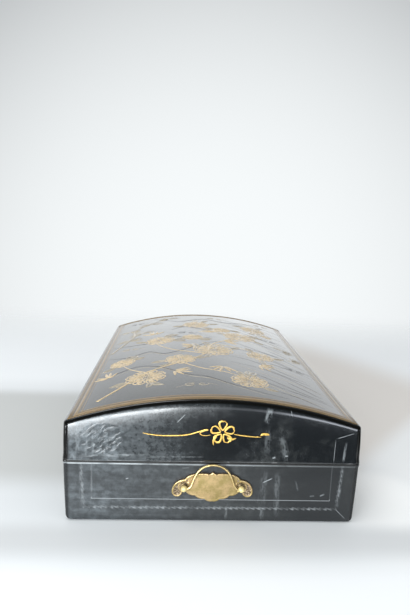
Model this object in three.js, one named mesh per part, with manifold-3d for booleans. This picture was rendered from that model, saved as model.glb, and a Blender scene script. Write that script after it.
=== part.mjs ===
// A low rectangular lacquered wooden box with a gently arched, hinged lid. Millimetres, +Z up.
// X runs across the width: the lock is on the -X side and the hinges are on the +X side.
// Y runs along the length, with a brass bail handle on each end. The origin is under the middle of the box.
import * as THREE from "three";
import { mergeVertices, toCreasedNormals } from "three/addons/utils/BufferGeometryUtils.js";
import Module from "manifold-3d";

const wasm = await Module();
wasm.setup();

// Case
const caseWidth = 240;
const caseLength = 360;
const seamHeight = 52;
const cornerHeight = 84.5;
const archRise = 21;
const wallThickness = 8;
const bottomThickness = 8;
const topThickness = 7;
const edgeRound = 5;
const bottomRound = 4;
const archCornerRound = 6;
const seamGap = 0.3;
const fitGap = 0.3;

// Rim strips that stand up inside the lid
const stripThickness = 2.5;
const stripRise = 4;
const stripClearance = 0.6;

// Handle plates: their reach past the posts, and up and down from them
const plateThickness = 1;
const earReach = 9.6;
const plateRise = 11.7;
const plateDrop = 14.3;
const domeWidth = 35;
const domeHeight = 19;
const domeDrop = 1.2;
const domeRise = 0.9;
const earRecess = 0.45;
const earScale = 0.8;
const bossRadius = 3.3;

// Handle posts and bails
const postSpacing = 46;
const postDrop = 19.7;
const postStandoff = 4.3;
const ballRadius = 2.6;
const neckRadius = 1.6;
const shankRadius = 1.2;
const shankClearance = 0.3;
const washerRadius = 4.2;
const washerThickness = 0.8;
const rivetRadius = 2.1;
const rivetThickness = 0.9;
const bailWireRadius = 0.9;
const bailHeight = 20.5;
const bailSocketDepth = 0.9;
const bailFootRun = 0.4;

// Hinges
const hingeLength = 36;
const hingeInset = 62;
const leafHeight = 17;
const leafThickness = 1;
const leafEdgeGap = 0.9;
const leafCornerRound = 3;
const leafNailEndInset = 6;
const leafNailEdgeInset = 4.5;
const knuckleRadius = 2.2;
const knuckleClearance = 0.1;
const knuckleGap = 0.35;
const knuckleWeb = 2;
const knuckleCount = 5;
const pinRadius = 0.9;
const pinClearance = 0.3;
const finialRadius = 1.7;
const finialHeight = 1.4;

// Nails
const nailHeadRadius = 1.9;
const nailHeadHeight = 0.9;
const nailShankRadius = 0.7;
const nailLength = 6.5;

// Lock plates, hasp and staples
const lockPlateWidth = 46;
const lidPlateHeight = 21;
const basePlateHeight = 30;
const lockNailInset = 6;
const lockNailRise = 8;
const haspPivotRise = 14;
const haspBarrelLength = 8.7;
const haspNeck = 4;
const haspSwell = 1.6;
const haspShoulderDrop = 6;
const tongueWidth = 6.4;
const tongueTipLap = 1.5;
const lidKnuckleLength = 3.8;
const knuckleFootHeight = 2.4;
const stapleSpacing = 13;
const stapleDrop = 22;
const stapleWireRadius = 1.1;
const stapleEye = 6.4;
const stapleStand = 2.6;

const halfWidth = caseWidth / 2;
const halfLength = caseLength / 2;
const archRadius = (halfWidth ** 2 + archRise ** 2) / (2 * archRise);
const archCentre = cornerHeight + archRise - archRadius;
const lidBottom = seamHeight + seamGap;
const innerHalfWidth = halfWidth - wallThickness;
const innerHalfLength = halfLength - wallThickness;
const postHeight = seamHeight - postDrop;
const hingeAxisX = halfWidth + knuckleRadius + knuckleClearance;
const hingeAxisZ = seamHeight + seamGap / 2;
const haspAxisX = -halfWidth - plateThickness - knuckleRadius - knuckleClearance;
const haspAxisZ = lidBottom + haspPivotRise;
const stapleHeight = seamHeight - stapleDrop;
const stapleReach = stapleEye / 2 + stapleWireRadius;
const beyond = 2 * Math.max(caseWidth, caseLength);
const alongY = new THREE.Vector3(0, 1, 0);

const lacquer = new THREE.MeshStandardMaterial({ name: "lacquer", color: 0x15181c, roughness: 0.35 });
const innerLacquer = new THREE.MeshStandardMaterial({
  name: "inner_lacquer",
  color: 0x4a1712,
  roughness: 0.5,
});
const brass = new THREE.MeshStandardMaterial({
  name: "brass",
  color: 0xb08d45,
  roughness: 0.4,
  metalness: 1,
});
const wireBrass = new THREE.MeshStandardMaterial({
  name: "wire_brass",
  color: 0xc9a85c,
  roughness: 0.3,
  metalness: 1,
});

// A closed geometry as a solid that can be joined and cut.
function solidOf(geometry) {
  const bare = geometry.clone();
  bare.deleteAttribute("normal");
  bare.deleteAttribute("uv");
  const merged = mergeVertices(bare, 1e-4);
  return new wasm.Manifold(
    new wasm.Mesh({
      numProp: 3,
      vertProperties: merged.attributes.position.array,
      triVerts: new Uint32Array(merged.index.array),
    }),
  );
}

// A solid as a geometry with creased normals.
function geometryOf(solid) {
  const mesh = solid.getMesh();
  const geometry = new THREE.BufferGeometry();
  geometry.setAttribute("position", new THREE.BufferAttribute(new Float32Array(mesh.vertProperties), 3));
  geometry.setIndex(new THREE.BufferAttribute(new Uint32Array(mesh.triVerts), 1));
  return toCreasedNormals(geometry, Math.PI / 5);
}

function namedMesh(name, solid, material) {
  const mesh = new THREE.Mesh(geometryOf(solid), material);
  mesh.name = name;
  return mesh;
}

function block(low, high) {
  const size = high.map((value, i) => value - low[i]);
  const geometry = new THREE.BoxGeometry(...size);
  geometry.translate(...low.map((value, i) => value + size[i] / 2));
  return solidOf(geometry);
}

function arcPoints(centreX, centreY, radius, from, to, steps) {
  return Array.from({ length: steps + 1 }, (_, i) => {
    const angle = from + ((to - from) * i) / steps;
    return new THREE.Vector2(centreX + radius * Math.cos(angle), centreY + radius * Math.sin(angle));
  });
}

// A clockwise outline of cusps, each [across, up, bulge]. An arc joins each cusp to the next, and swells
// outwards by the bulge, or inwards where it is below zero.
function lobedOutline(cusps, steps = 4) {
  return cusps.flatMap(([x, y, bulge], i) => {
    const [nextX, nextY] = cusps[(i + 1) % cusps.length];
    const start = new THREE.Vector2(x, y);
    const chord = new THREE.Vector2(nextX - x, nextY - y);
    if (bulge === 0) return [start];
    const length = chord.length();
    const along = chord.divideScalar(length);
    const out = new THREE.Vector2(-along.y, along.x);
    const halfAngle = 2 * Math.atan((2 * bulge) / length);
    const radius = length / (2 * Math.sin(halfAngle));
    const middle = start.addScaledVector(along, length / 2);
    const centre = middle.addScaledVector(out, -radius * Math.cos(halfAngle));
    return Array.from({ length: steps }, (_, k) => {
      const angle = halfAngle * ((2 * k) / steps - 1);
      return centre
        .clone()
        .addScaledVector(along, radius * Math.sin(angle))
        .addScaledVector(out, radius * Math.cos(angle));
    });
  });
}

// Both halves of a form, from the cusps of its right half. Its first and last cusps are on the middle line.
function mirrored(half) {
  const back = half.slice(1).map(([x, y], i) => [-x, y, half[i][2]]);
  return [...half.slice(0, -1), ...back.reverse()];
}

// An outline of X and Z drawn out along Y, with its end edges rounded where round is above zero.
function drawnAlongY(points, lowY, highY, round = 0) {
  const geometry = new THREE.ExtrudeGeometry(new THREE.Shape(points), {
    depth: highY - lowY - 2 * round,
    bevelEnabled: round > 0,
    bevelThickness: round,
    bevelSize: round,
    bevelOffset: -round,
    bevelSegments: 4,
  });
  geometry.applyMatrix4(new THREE.Matrix4().set(1, 0, 0, 0, 0, 0, -1, highY - round, 0, 1, 0, 0, 0, 0, 0, 1));
  return solidOf(geometry);
}

// An outline of Y and Z drawn out along X.
function drawnAlongX(points, lowX, highX) {
  const geometry = new THREE.ExtrudeGeometry(new THREE.Shape(points), {
    depth: highX - lowX,
    bevelEnabled: false,
  });
  geometry.applyMatrix4(new THREE.Matrix4().set(0, 0, 1, lowX, 1, 0, 0, 0, 0, 1, 0, 0, 0, 0, 0, 1));
  return solidOf(geometry);
}

// A turned profile of [radius, distance] pairs about an axis through a point.
function turned(profile, origin, direction, sides = 14) {
  const points = profile.map(([radius, along]) => new THREE.Vector2(radius, along));
  const geometry = new THREE.LatheGeometry(points, sides);
  const turn = new THREE.Quaternion().setFromUnitVectors(new THREE.Vector3(0, 1, 0), direction);
  geometry.applyQuaternion(turn);
  geometry.translate(origin.x, origin.y, origin.z);
  return solidOf(geometry);
}

function rod(radius, from, to, sides = 12) {
  const direction = to.clone().sub(from);
  const length = direction.length();
  const profile = [
    [0, 0],
    [radius, 0],
    [radius, length],
    [0, length],
  ];
  return turned(profile, from, direction.normalize(), sides);
}

// A rod of a length along Y, about a point.
function crossRod(radius, x, z, fromY, toY) {
  return rod(radius, new THREE.Vector3(x, fromY, z), new THREE.Vector3(x, toY, z));
}

// Round wire along a smooth line through points.
function wire(points, radius, steps, sides = 8) {
  const section = new THREE.Shape(arcPoints(0, 0, radius, 0, 2 * Math.PI, sides).slice(0, sides));
  const path = new THREE.CatmullRomCurve3(points, false, "centripetal");
  return solidOf(new THREE.ExtrudeGeometry(section, { steps, bevelEnabled: false, extrudePath: path }));
}

function cutAll(solid, cutters) {
  return cutters.reduce((rest, cutter) => rest.subtract(cutter), solid);
}

// The outline of the arched lid, drawn down to below the seam, where the lid is then cut off.
function archOutline() {
  const filletX = halfWidth - archCornerRound;
  const filletZ = archCentre + Math.sqrt((archRadius - archCornerRound) ** 2 - filletX ** 2);
  const turnAngle = Math.atan2(filletZ - archCentre, filletX);
  const below = seamHeight - 4 * edgeRound;
  return [
    new THREE.Vector2(-halfWidth, below),
    new THREE.Vector2(halfWidth, below),
    ...arcPoints(filletX, filletZ, archCornerRound, 0, turnAngle, 5),
    ...arcPoints(0, archCentre, archRadius, turnAngle, Math.PI - turnAngle, 28).slice(1, -1),
    ...arcPoints(-filletX, filletZ, archCornerRound, Math.PI - turnAngle, Math.PI, 5),
  ];
}

// Everything under an arch that lies a depth below the lid's outer face.
function underArch(depth) {
  const reach = halfWidth + edgeRound;
  const radius = archRadius - depth;
  const side = Math.acos(reach / radius);
  return drawnAlongY(
    [
      new THREE.Vector2(-reach, 0),
      new THREE.Vector2(reach, 0),
      ...arcPoints(0, archCentre, radius, side, Math.PI - side, 30),
    ],
    -halfLength - edgeRound,
    halfLength + edgeRound,
  );
}

// The whole base as one rounded block, for its boards to be cut from.
function baseForm() {
  const x = halfWidth - edgeRound;
  const y = halfLength - edgeRound;
  const outline = [
    ...arcPoints(x, y, edgeRound, 0, Math.PI / 2, 4),
    ...arcPoints(-x, y, edgeRound, Math.PI / 2, Math.PI, 4),
    ...arcPoints(-x, -y, edgeRound, Math.PI, 1.5 * Math.PI, 4),
    ...arcPoints(x, -y, edgeRound, 1.5 * Math.PI, 2 * Math.PI, 4),
  ];
  const geometry = new THREE.ExtrudeGeometry(new THREE.Shape(outline), {
    depth: seamHeight,
    bevelEnabled: true,
    bevelThickness: bottomRound,
    bevelSize: bottomRound,
    bevelOffset: -bottomRound,
    bevelSegments: 4,
  });
  geometry.translate(0, 0, bottomRound);
  return solidOf(geometry);
}

const postPlaces = [-1, 1].map((side) => ({ side, x: (side * postSpacing) / 2 }));
const hingePlaces = [-1, 1].map((side) => ({ side, y: side * (halfLength - hingeInset) }));

// Places of the hinges' nails. A nail's head is the point on the leaf's outer face, under the nail's cap.
function hingeNails() {
  const nails = [];
  hingePlaces.forEach(({ side, y }) => {
    for (const half of [-1, 1])
      for (const along of [-1, 1])
        nails.push({
          name: `hinge_${side < 0 ? "near" : "far"}_${half > 0 ? "lid" : "base"}_nail_${along < 0 ? 1 : 2}`,
          head: new THREE.Vector3(
            halfWidth + leafThickness,
            y + along * (hingeLength / 2 - leafNailEndInset),
            hingeAxisZ + half * (leafHeight - leafNailEdgeInset),
          ),
          inward: new THREE.Vector3(-1, 0, 0),
        });
  });
  return nails;
}

function lockNails() {
  const nails = [];
  for (const half of [-1, 1])
    for (const along of [-1, 1])
      nails.push({
        name: `lock_${half > 0 ? "lid" : "base"}_nail_${along < 0 ? 1 : 2}`,
        head: new THREE.Vector3(
          -halfWidth - plateThickness,
          along * (lockPlateWidth / 2 - lockNailInset),
          seamHeight + half * lockNailRise,
        ),
        inward: new THREE.Vector3(1, 0, 0),
      });
  return nails;
}

// Every hole that a shank makes in the boards and plates.
function shankHoles(nails) {
  const through = 3 * wallThickness;
  const holes = [];
  for (const end of [-1, 1])
    for (const { x } of postPlaces) {
      const y = end * halfLength;
      holes.push(crossRod(shankRadius + shankClearance, x, postHeight, y - through, y + through));
    }
  for (const nail of nails)
    holes.push(
      rod(
        nailShankRadius + shankClearance,
        nail.head.clone().addScaledVector(nail.inward, -nailLength),
        nail.head.clone().addScaledVector(nail.inward, nailLength + shankClearance),
      ),
    );
  for (const side of [-1, 1])
    for (const half of [-1, 1]) {
      const y = (side * stapleSpacing) / 2;
      const z = stapleHeight + half * stapleReach;
      const outside = new THREE.Vector3(-halfWidth - through, y, z);
      const inside = new THREE.Vector3(-halfWidth + through, y, z);
      holes.push(rod(stapleWireRadius + shankClearance, outside, inside));
    }
  return holes;
}

function nailSolid(nail) {
  const outward = nail.inward.clone().negate();
  const dome = [
    [0, -nailLength],
    [nailShankRadius, -nailLength + nailShankRadius],
    [nailShankRadius, 0],
    [nailHeadRadius, 0],
    [nailHeadRadius * 0.87, nailHeadHeight * 0.5],
    [nailHeadRadius * 0.5, nailHeadHeight * 0.87],
    [0, nailHeadHeight],
  ];
  return turned(dome, nail.head, outward, 12);
}

function buildBase(holes) {
  const group = new THREE.Group();
  const form = baseForm();
  const cut = (low, high) => cutAll(form.intersect(block(low, high)), holes);
  const bottom = form.intersect(block([-beyond, -beyond, 0], [beyond, beyond, bottomThickness]));
  const front = cut([-halfWidth, -beyond, bottomThickness], [-innerHalfWidth, beyond, seamHeight]);
  const back = cut([innerHalfWidth, -beyond, bottomThickness], [halfWidth, beyond, seamHeight]);
  const near = cut(
    [-innerHalfWidth, -halfLength, bottomThickness],
    [innerHalfWidth, -innerHalfLength, seamHeight],
  );
  const far = cut(
    [-innerHalfWidth, innerHalfLength, bottomThickness],
    [innerHalfWidth, halfLength, seamHeight],
  );
  group.add(
    namedMesh("base_bottom_board", bottom, lacquer),
    namedMesh("base_front_wall", front, lacquer),
    namedMesh("base_back_wall", back, lacquer),
    namedMesh("base_near_wall", near, lacquer),
    namedMesh("base_far_wall", far, lacquer),
  );
  return group;
}

// Four round-topped strips that line the base above its fittings and stand up inside the lid.
function buildRimStrips() {
  const group = new THREE.Group();
  const top = seamHeight + stripRise;
  const bottom = postHeight + washerRadius + 2 * fitGap;
  const round = stripThickness / 2;
  const outline = (inner, side) => [
    new THREE.Vector2(side * inner, bottom),
    new THREE.Vector2(side * (inner + stripThickness), bottom),
    ...arcPoints(inner + round, top - round, round, 0, Math.PI, 6).map(
      (p) => new THREE.Vector2(side * p.x, p.y),
    ),
  ];
  const innerX = innerHalfWidth - stripThickness;
  const innerY = innerHalfLength - stripThickness;
  const front = drawnAlongY(outline(innerX, -1), -innerHalfLength, innerHalfLength);
  const back = drawnAlongY(outline(innerX, 1), -innerHalfLength, innerHalfLength);
  const near = drawnAlongX(outline(innerY, -1), -innerX, innerX);
  const far = drawnAlongX(outline(innerY, 1), -innerX, innerX);
  group.add(
    namedMesh("rim_strip_front", front, innerLacquer),
    namedMesh("rim_strip_back", back, innerLacquer),
    namedMesh("rim_strip_near", near, innerLacquer),
    namedMesh("rim_strip_far", far, innerLacquer),
  );
  return group;
}

// The lid: an arched top board on two rails and two gables.
function buildLid(holes) {
  const group = new THREE.Group();
  const form = drawnAlongY(archOutline(), -halfLength, halfLength, edgeRound).intersect(
    block([-beyond, -beyond, lidBottom], [beyond, beyond, beyond]),
  );
  const top = form.subtract(underArch(topThickness));
  const sides = form.intersect(underArch(topThickness + fitGap));
  const railX = innerHalfWidth + stripClearance;
  const gableY = innerHalfLength + stripClearance;
  const cut = (low, high) => cutAll(sides.intersect(block(low, high)), holes);
  const front = cut([-halfWidth, -beyond, lidBottom], [-railX, beyond, beyond]);
  const back = cut([railX, -beyond, lidBottom], [halfWidth, beyond, beyond]);
  const near = cut([-railX, -halfLength, lidBottom], [railX, -gableY, beyond]);
  const far = cut([-railX, gableY, lidBottom], [railX, halfLength, beyond]);
  group.add(
    namedMesh("lid_top_board", top, lacquer),
    namedMesh("lid_front_rail", front, lacquer),
    namedMesh("lid_back_rail", back, lacquer),
    namedMesh("lid_near_gable", near, lacquer),
    namedMesh("lid_far_gable", far, lacquer),
  );
  return group;
}

// The right half of a handle plate, from its top cusp round the ear to its bottom lobe. Across and bulge are
// shares of the plate's half width. Up is a share of its rise above the posts, or of its drop below them.
const plateCusps = [
  [0, 1, -0.008],
  [0.11, 0.83, 0.023],
  [0.43, 0.83, 0.028],
  [0.69, 0.5, 0.08],
  [1, -0.24, 0.141],
  [0.742, -0.364, -0.015],
  [0.663, -0.308, 0.015],
  [0.411, -0.664, 0.031],
  [0.196, -0.797, 0.023],
  [0, -1, 0],
];

// Points of a handle plate's edge, as X and the height above the posts.
function plateOutline() {
  const reach = postSpacing / 2 + earReach;
  const half = plateCusps.map(([across, up, bulge]) => [
    across * reach,
    up * (up > 0 ? plateRise : plateDrop),
    bulge * reach,
  ]);
  return lobedOutline(mirrored(half));
}

// The handle plate: a lobed sheet with a domed middle, and an ear at each end that is sunk inside its rim.
function plateSolid(face, holes) {
  const outline = plateOutline();
  const front = face - plateThickness;
  const raised = outline.map((p) => new THREE.Vector2(p.x, p.y + postHeight));
  const sunkDepth = plateThickness / 2 / domeRise;
  const domeArc = arcPoints(0, 0, 1, 0, Math.PI / 2, 3).slice(0, -1);
  const domeProfile = [
    new THREE.Vector2(0, -sunkDepth),
    new THREE.Vector2(1, -sunkDepth),
    ...domeArc,
    new THREE.Vector2(0, 1),
  ];
  const dome = new THREE.LatheGeometry(domeProfile, 24);
  dome.rotateX(Math.PI);
  dome.scale(domeWidth / 2, domeRise, domeHeight / 2);
  dome.translate(0, front, postHeight - domeDrop);
  let plate = drawnAlongY(raised, front, face).add(solidOf(dome));
  for (const { side, x } of postPlaces) {
    const earX = x + (side * earReach) / 2;
    const ground = outline.map(
      (p) => new THREE.Vector2(earX + (p.x - earX) * earScale, postHeight + p.y * earScale),
    );
    const edge = x - (side * bossRadius) / 2;
    const reach = block(
      [Math.min(edge, side * beyond), -beyond, 0],
      [Math.max(edge, side * beyond), beyond, beyond],
    );
    const boss = crossRod(bossRadius, x, postHeight, front - plateThickness, face);
    const sunk = drawnAlongY(ground, front - plateThickness, front + earRecess);
    plate = plate.subtract(sunk.intersect(reach).subtract(boss));
  }
  return cutAll(plate, holes);
}

function buildHandle(name, holes) {
  const group = new THREE.Group();
  const face = -halfLength;
  group.add(
    namedMesh(`${name}_handle_plate`, plateSolid(face, holes), brass),
    namedMesh(`${name}_handle_bail`, bailSolid(face), wireBrass),
  );
  for (const { side, x } of postPlaces) {
    const label = side < 0 ? "left" : "right";
    group.add(
      namedMesh(`${name}_handle_post_${label}`, postSolid(side, x, face), wireBrass),
      namedMesh(`${name}_handle_washer_${label}`, washerSolid(x, face), brass),
    );
  }
  return group;
}

// A post: a ball with a socket for the bail, a neck on the plate, a shank through the wall and a rivet head.
function postSolid(side, x, face) {
  const meet = Math.acos(neckRadius / ballRadius);
  const inside = -wallThickness - washerThickness;
  const ball = arcPoints(0, postStandoff, ballRadius, -meet, Math.PI / 2, 8).map((p) => [p.x, p.y]);
  ball[ball.length - 1][0] = 0;
  const profile = [
    [0, inside - rivetThickness],
    [rivetRadius * 0.7, inside - rivetThickness],
    [rivetRadius, inside - rivetThickness * 0.4],
    [rivetRadius, inside],
    [shankRadius, inside],
    [shankRadius, plateThickness],
    [neckRadius, plateThickness],
    ...ball,
  ];
  const outward = new THREE.Vector3(0, -1, 0);
  const post = turned(profile, new THREE.Vector3(x, face, postHeight), outward);
  const centre = new THREE.Vector3(x, face - postStandoff, postHeight);
  const deep = centre.clone().add(new THREE.Vector3(side * bailSocketDepth, 0, 0));
  const open = centre.clone().add(new THREE.Vector3(-side * 2 * ballRadius, 0, 0));
  return post.subtract(rod(bailWireRadius + shankClearance, deep, open));
}

function washerSolid(x, face) {
  const hole = shankRadius + shankClearance;
  const inner = face + wallThickness;
  const ring = [
    [hole, 0],
    [washerRadius, 0],
    [washerRadius, washerThickness],
    [hole, washerThickness],
    [hole, 0],
  ];
  return turned(ring, new THREE.Vector3(x, inner, postHeight), alongY);
}

// Points of the bail's right half from its foot up, as shares of half the post spacing and of its height.
const bailCurve = [
  [0.765, 0.068],
  [0.691, 0.224],
  [0.617, 0.468],
  [0.461, 0.732],
  [0.243, 0.922],
];

// The bail: wire from one ball's socket, up over the plate and down into the other, leaning on the plate.
function bailSolid(face) {
  const post = postSpacing / 2;
  const restStandoff = plateThickness + bailWireRadius + fitGap;
  const half = [
    [post + bailSocketDepth - shankClearance, 0],
    [post - ballRadius - bailFootRun, 0],
    ...bailCurve.map(([across, up]) => [across * post, up * bailHeight]),
  ];
  const place = ([x, rise]) => {
    const lean = (postStandoff - restStandoff) * (rise / bailHeight);
    return new THREE.Vector3(x, face - postStandoff + lean, postHeight + rise);
  };
  const left = half.map(([x, rise]) => place([-x, rise]));
  const right = half.map(place).reverse();
  return wire([...left, place([0, bailHeight]), ...right], bailWireRadius, 40);
}

// A leaf's flat, with its two outer corners rounded. half is 1 on the lid and -1 on the base.
function leafOutline(y, half) {
  const end = hingeLength / 2;
  const r = leafCornerRound;
  const flat = [
    new THREE.Vector2(-end, leafEdgeGap),
    new THREE.Vector2(end, leafEdgeGap),
    ...arcPoints(end - r, leafHeight - r, r, 0, Math.PI / 2, 4),
    ...arcPoints(r - end, leafHeight - r, r, Math.PI / 2, Math.PI, 4),
  ];
  return flat.map((p) => new THREE.Vector2(y + p.x, hingeAxisZ + half * p.y));
}

// One leaf of a hinge with its knuckles, which take turns with the other leaf's along the pin.
function leafSolid(y, half, holes) {
  const low = y - hingeLength / 2;
  const pitch = hingeLength / knuckleCount;
  let leaf = drawnAlongX(leafOutline(y, half), halfWidth, halfWidth + leafThickness);
  for (let i = 0; i < knuckleCount; i++) {
    const from = low + i * pitch;
    const to = from + pitch;
    const mine = (i % 2 === 0) === (half < 0);
    if (mine) {
      const start = i === 0 ? from : from + knuckleGap / 2;
      const stop = i === knuckleCount - 1 ? to : to - knuckleGap / 2;
      const barrel = crossRod(knuckleRadius, hingeAxisX, hingeAxisZ, start, stop);
      const web = block(
        [halfWidth, start, Math.min(hingeAxisZ, hingeAxisZ + half * knuckleWeb)],
        [halfWidth + leafThickness, stop, Math.max(hingeAxisZ, hingeAxisZ + half * knuckleWeb)],
      );
      leaf = leaf.add(barrel).add(web);
    } else {
      const clear = knuckleRadius + knuckleGap;
      const room = crossRod(clear, hingeAxisX, hingeAxisZ, from - knuckleGap / 2, to + knuckleGap / 2);
      leaf = leaf.subtract(room);
    }
  }
  const boreReach = hingeLength / 2 + pitch;
  const bore = crossRod(pinRadius + pinClearance, hingeAxisX, hingeAxisZ, y - boreReach, y + boreReach);
  return cutAll(leaf.subtract(bore), holes);
}

// A pin along Y with a domed finial on each end. Its shank reaches the same way to both sides of its middle.
function pinSolid(x, y, z, reach) {
  const end = [
    [pinRadius, reach],
    [finialRadius, reach],
    [finialRadius, reach + finialHeight * 0.35],
    [finialRadius * 0.75, reach + finialHeight * 0.75],
    [0, reach + finialHeight],
  ];
  const start = end.map(([radius, along]) => [radius, -along]).reverse();
  return turned([...start, ...end], new THREE.Vector3(x, y, z), alongY, 12);
}

function buildHinge(side, y, holes) {
  const name = `hinge_${side < 0 ? "near" : "far"}`;
  const pin = pinSolid(hingeAxisX, y, hingeAxisZ, hingeLength / 2 + fitGap);
  const group = new THREE.Group();
  group.add(
    namedMesh(`${name}_lid_leaf`, leafSolid(y, 1, holes), brass),
    namedMesh(`${name}_base_leaf`, leafSolid(y, -1, holes), brass),
    namedMesh(`${name}_pin`, pin, wireBrass),
  );
  return group;
}

// The right half of a lock plate from the seam down, as shares of its half width and of its height.
const lockPlateCusps = [
  [0, 0, 0],
  [1, 0, 0],
  [1, -0.34, 0.07],
  [0.84, -0.76, 0.04],
  [0.6, -0.85, 0.05],
  [0.22, -0.95, -0.01],
  [0, -1, 0],
];

// A lock plate's outline from the edge at the seam outwards. half is 1 on the lid and -1 on the base.
function lockPlateOutline(height, half, edge) {
  const w = lockPlateWidth / 2;
  const cusps = lockPlateCusps.map(([across, up, bulge]) => [across * w, up * height, bulge * w]);
  return lobedOutline(mirrored(cusps)).map((p) => new THREE.Vector2(p.x, edge - half * p.y));
}

// The lid's lock plate, with two knuckles that the hasp turns between.
function lidPlateSolid(bore) {
  const face = -halfWidth;
  let plate = drawnAlongX(lockPlateOutline(lidPlateHeight, 1, lidBottom), face - plateThickness, face);
  const inner = haspBarrelLength / 2 + knuckleGap;
  const outer = inner + lidKnuckleLength;
  for (const side of [-1, 1]) {
    const from = Math.min(side * inner, side * outer);
    const to = Math.max(side * inner, side * outer);
    const foot = block(
      [haspAxisX, from, haspAxisZ - knuckleFootHeight / 2],
      [face - plateThickness / 2, to, haspAxisZ + knuckleFootHeight / 2],
    );
    plate = plate.add(crossRod(knuckleRadius, haspAxisX, haspAxisZ, from, to)).add(foot);
  }
  return plate.subtract(bore);
}

function buildLock(holes) {
  const group = new THREE.Group();
  const face = -halfWidth;
  const pinReach = haspBarrelLength / 2 + knuckleGap + lidKnuckleLength + fitGap;
  const bore = crossRod(pinRadius + pinClearance, haspAxisX, haspAxisZ, -2 * pinReach, 2 * pinReach);
  const outline = lockPlateOutline(basePlateHeight, -1, seamHeight);
  const basePlate = drawnAlongX(outline, face - plateThickness, face);
  group.add(
    namedMesh("lock_lid_plate", cutAll(lidPlateSolid(bore), holes), brass),
    namedMesh("lock_base_plate", cutAll(basePlate, holes), brass),
    namedMesh("hasp", haspSolid(bore), brass),
    namedMesh("hasp_pin", pinSolid(haspAxisX, 0, haspAxisZ, pinReach), wireBrass),
  );
  for (const side of [-1, 1]) {
    const staple = eyeSolid(-halfWidth + wallThickness - fitGap, (side * stapleSpacing) / 2);
    group.add(namedMesh(`lock_staple_${side < 0 ? 1 : 2}`, staple, wireBrass));
  }
  return group;
}

// The hasp: a tapering tongue that hangs between the staples, with an eye for the padlock's bar.
function haspSolid(bore) {
  const backX = haspAxisX + plateThickness / 2;
  const tip = stapleHeight - stapleReach - stapleWireRadius - tongueTipLap;
  const barrelHalf = haspBarrelLength / 2;
  const tongueHalf = tongueWidth / 2;
  const outline = lobedOutline(
    mirrored([
      [0, haspAxisZ, 0],
      [barrelHalf, haspAxisZ, 0],
      [barrelHalf, haspAxisZ - haspNeck, haspSwell],
      [tongueHalf, seamHeight - haspShoulderDrop, 0],
      [tongueHalf, tip + tongueHalf, tongueHalf * (1 - Math.SQRT1_2)],
      [0, tip, 0],
    ]),
  );
  const tongue = drawnAlongX(outline, backX - plateThickness, backX);
  const barrel = crossRod(knuckleRadius, haspAxisX, haspAxisZ, -barrelHalf, barrelHalf);
  return tongue.add(barrel).subtract(bore).add(eyeSolid(backX - plateThickness / 2, 0));
}

// A loop of wire that stands out along -X, with two straight legs that end at rootX.
function eyeSolid(rootX, y) {
  const bendX = haspAxisX - stapleStand;
  const leg = (half) => [
    new THREE.Vector3(rootX, y, stapleHeight + half * stapleReach),
    new THREE.Vector3(bendX, y, stapleHeight + half * stapleReach),
  ];
  const bendSteps = 6;
  const bend = Array.from({ length: bendSteps - 1 }, (_, i) => {
    const angle = (Math.PI * (i + 1)) / bendSteps;
    return new THREE.Vector3(
      bendX - stapleReach * Math.sin(angle),
      y,
      stapleHeight - stapleReach * Math.cos(angle),
    );
  });
  return wire([...leg(-1), ...bend, ...leg(1).reverse()], stapleWireRadius, 24);
}

const box = new THREE.Group();
const nails = [...hingeNails(), ...lockNails()];
const holes = shankHoles(nails);
box.add(buildBase(holes), buildRimStrips(), buildLid(holes));
box.add(buildHandle("near", holes));
const farHandle = buildHandle("far", holes);
farHandle.rotation.z = Math.PI;
box.add(farHandle);
for (const { side, y } of hingePlaces) box.add(buildHinge(side, y, holes));
box.add(buildLock(holes));
for (const nail of nails) box.add(namedMesh(nail.name, nailSolid(nail), wireBrass));

export default box;
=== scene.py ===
import random
from math import acos, atan, copysign, cos, degrees, hypot, inf, log, pi, radians, sin, sqrt, tan
from types import SimpleNamespace

import bmesh
import bpy
from mathutils import Matrix, Vector
from mathutils.geometry import delaunay_2d_cdt


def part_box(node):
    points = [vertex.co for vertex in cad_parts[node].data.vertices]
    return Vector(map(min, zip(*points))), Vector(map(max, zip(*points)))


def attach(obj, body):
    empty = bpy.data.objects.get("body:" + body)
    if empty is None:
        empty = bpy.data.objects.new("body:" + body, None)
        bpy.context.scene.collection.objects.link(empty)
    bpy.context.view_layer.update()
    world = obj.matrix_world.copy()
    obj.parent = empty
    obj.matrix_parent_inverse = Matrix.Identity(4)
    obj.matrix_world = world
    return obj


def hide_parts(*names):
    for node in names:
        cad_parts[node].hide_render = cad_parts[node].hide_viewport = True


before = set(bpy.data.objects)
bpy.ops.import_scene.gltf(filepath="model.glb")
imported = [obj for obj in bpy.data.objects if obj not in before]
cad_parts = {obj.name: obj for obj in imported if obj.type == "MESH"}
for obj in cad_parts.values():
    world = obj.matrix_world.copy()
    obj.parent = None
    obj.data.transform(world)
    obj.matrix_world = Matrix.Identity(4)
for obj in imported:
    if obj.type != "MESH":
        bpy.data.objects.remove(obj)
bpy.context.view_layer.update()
mm = 0.001

# Sizes of the case, read from the frame
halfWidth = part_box("base_bottom_board")[1].x
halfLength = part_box("base_bottom_board")[1].y
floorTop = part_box("base_bottom_board")[1].z
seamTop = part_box("base_front_wall")[1].z
innerX = -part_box("base_front_wall")[1].x
innerY = -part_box("base_near_wall")[1].y
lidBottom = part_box("lid_near_gable")[0].z
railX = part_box("lid_back_rail")[0].x
gableY = -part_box("lid_near_gable")[1].y
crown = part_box("lid_top_board")[1].z

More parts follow.
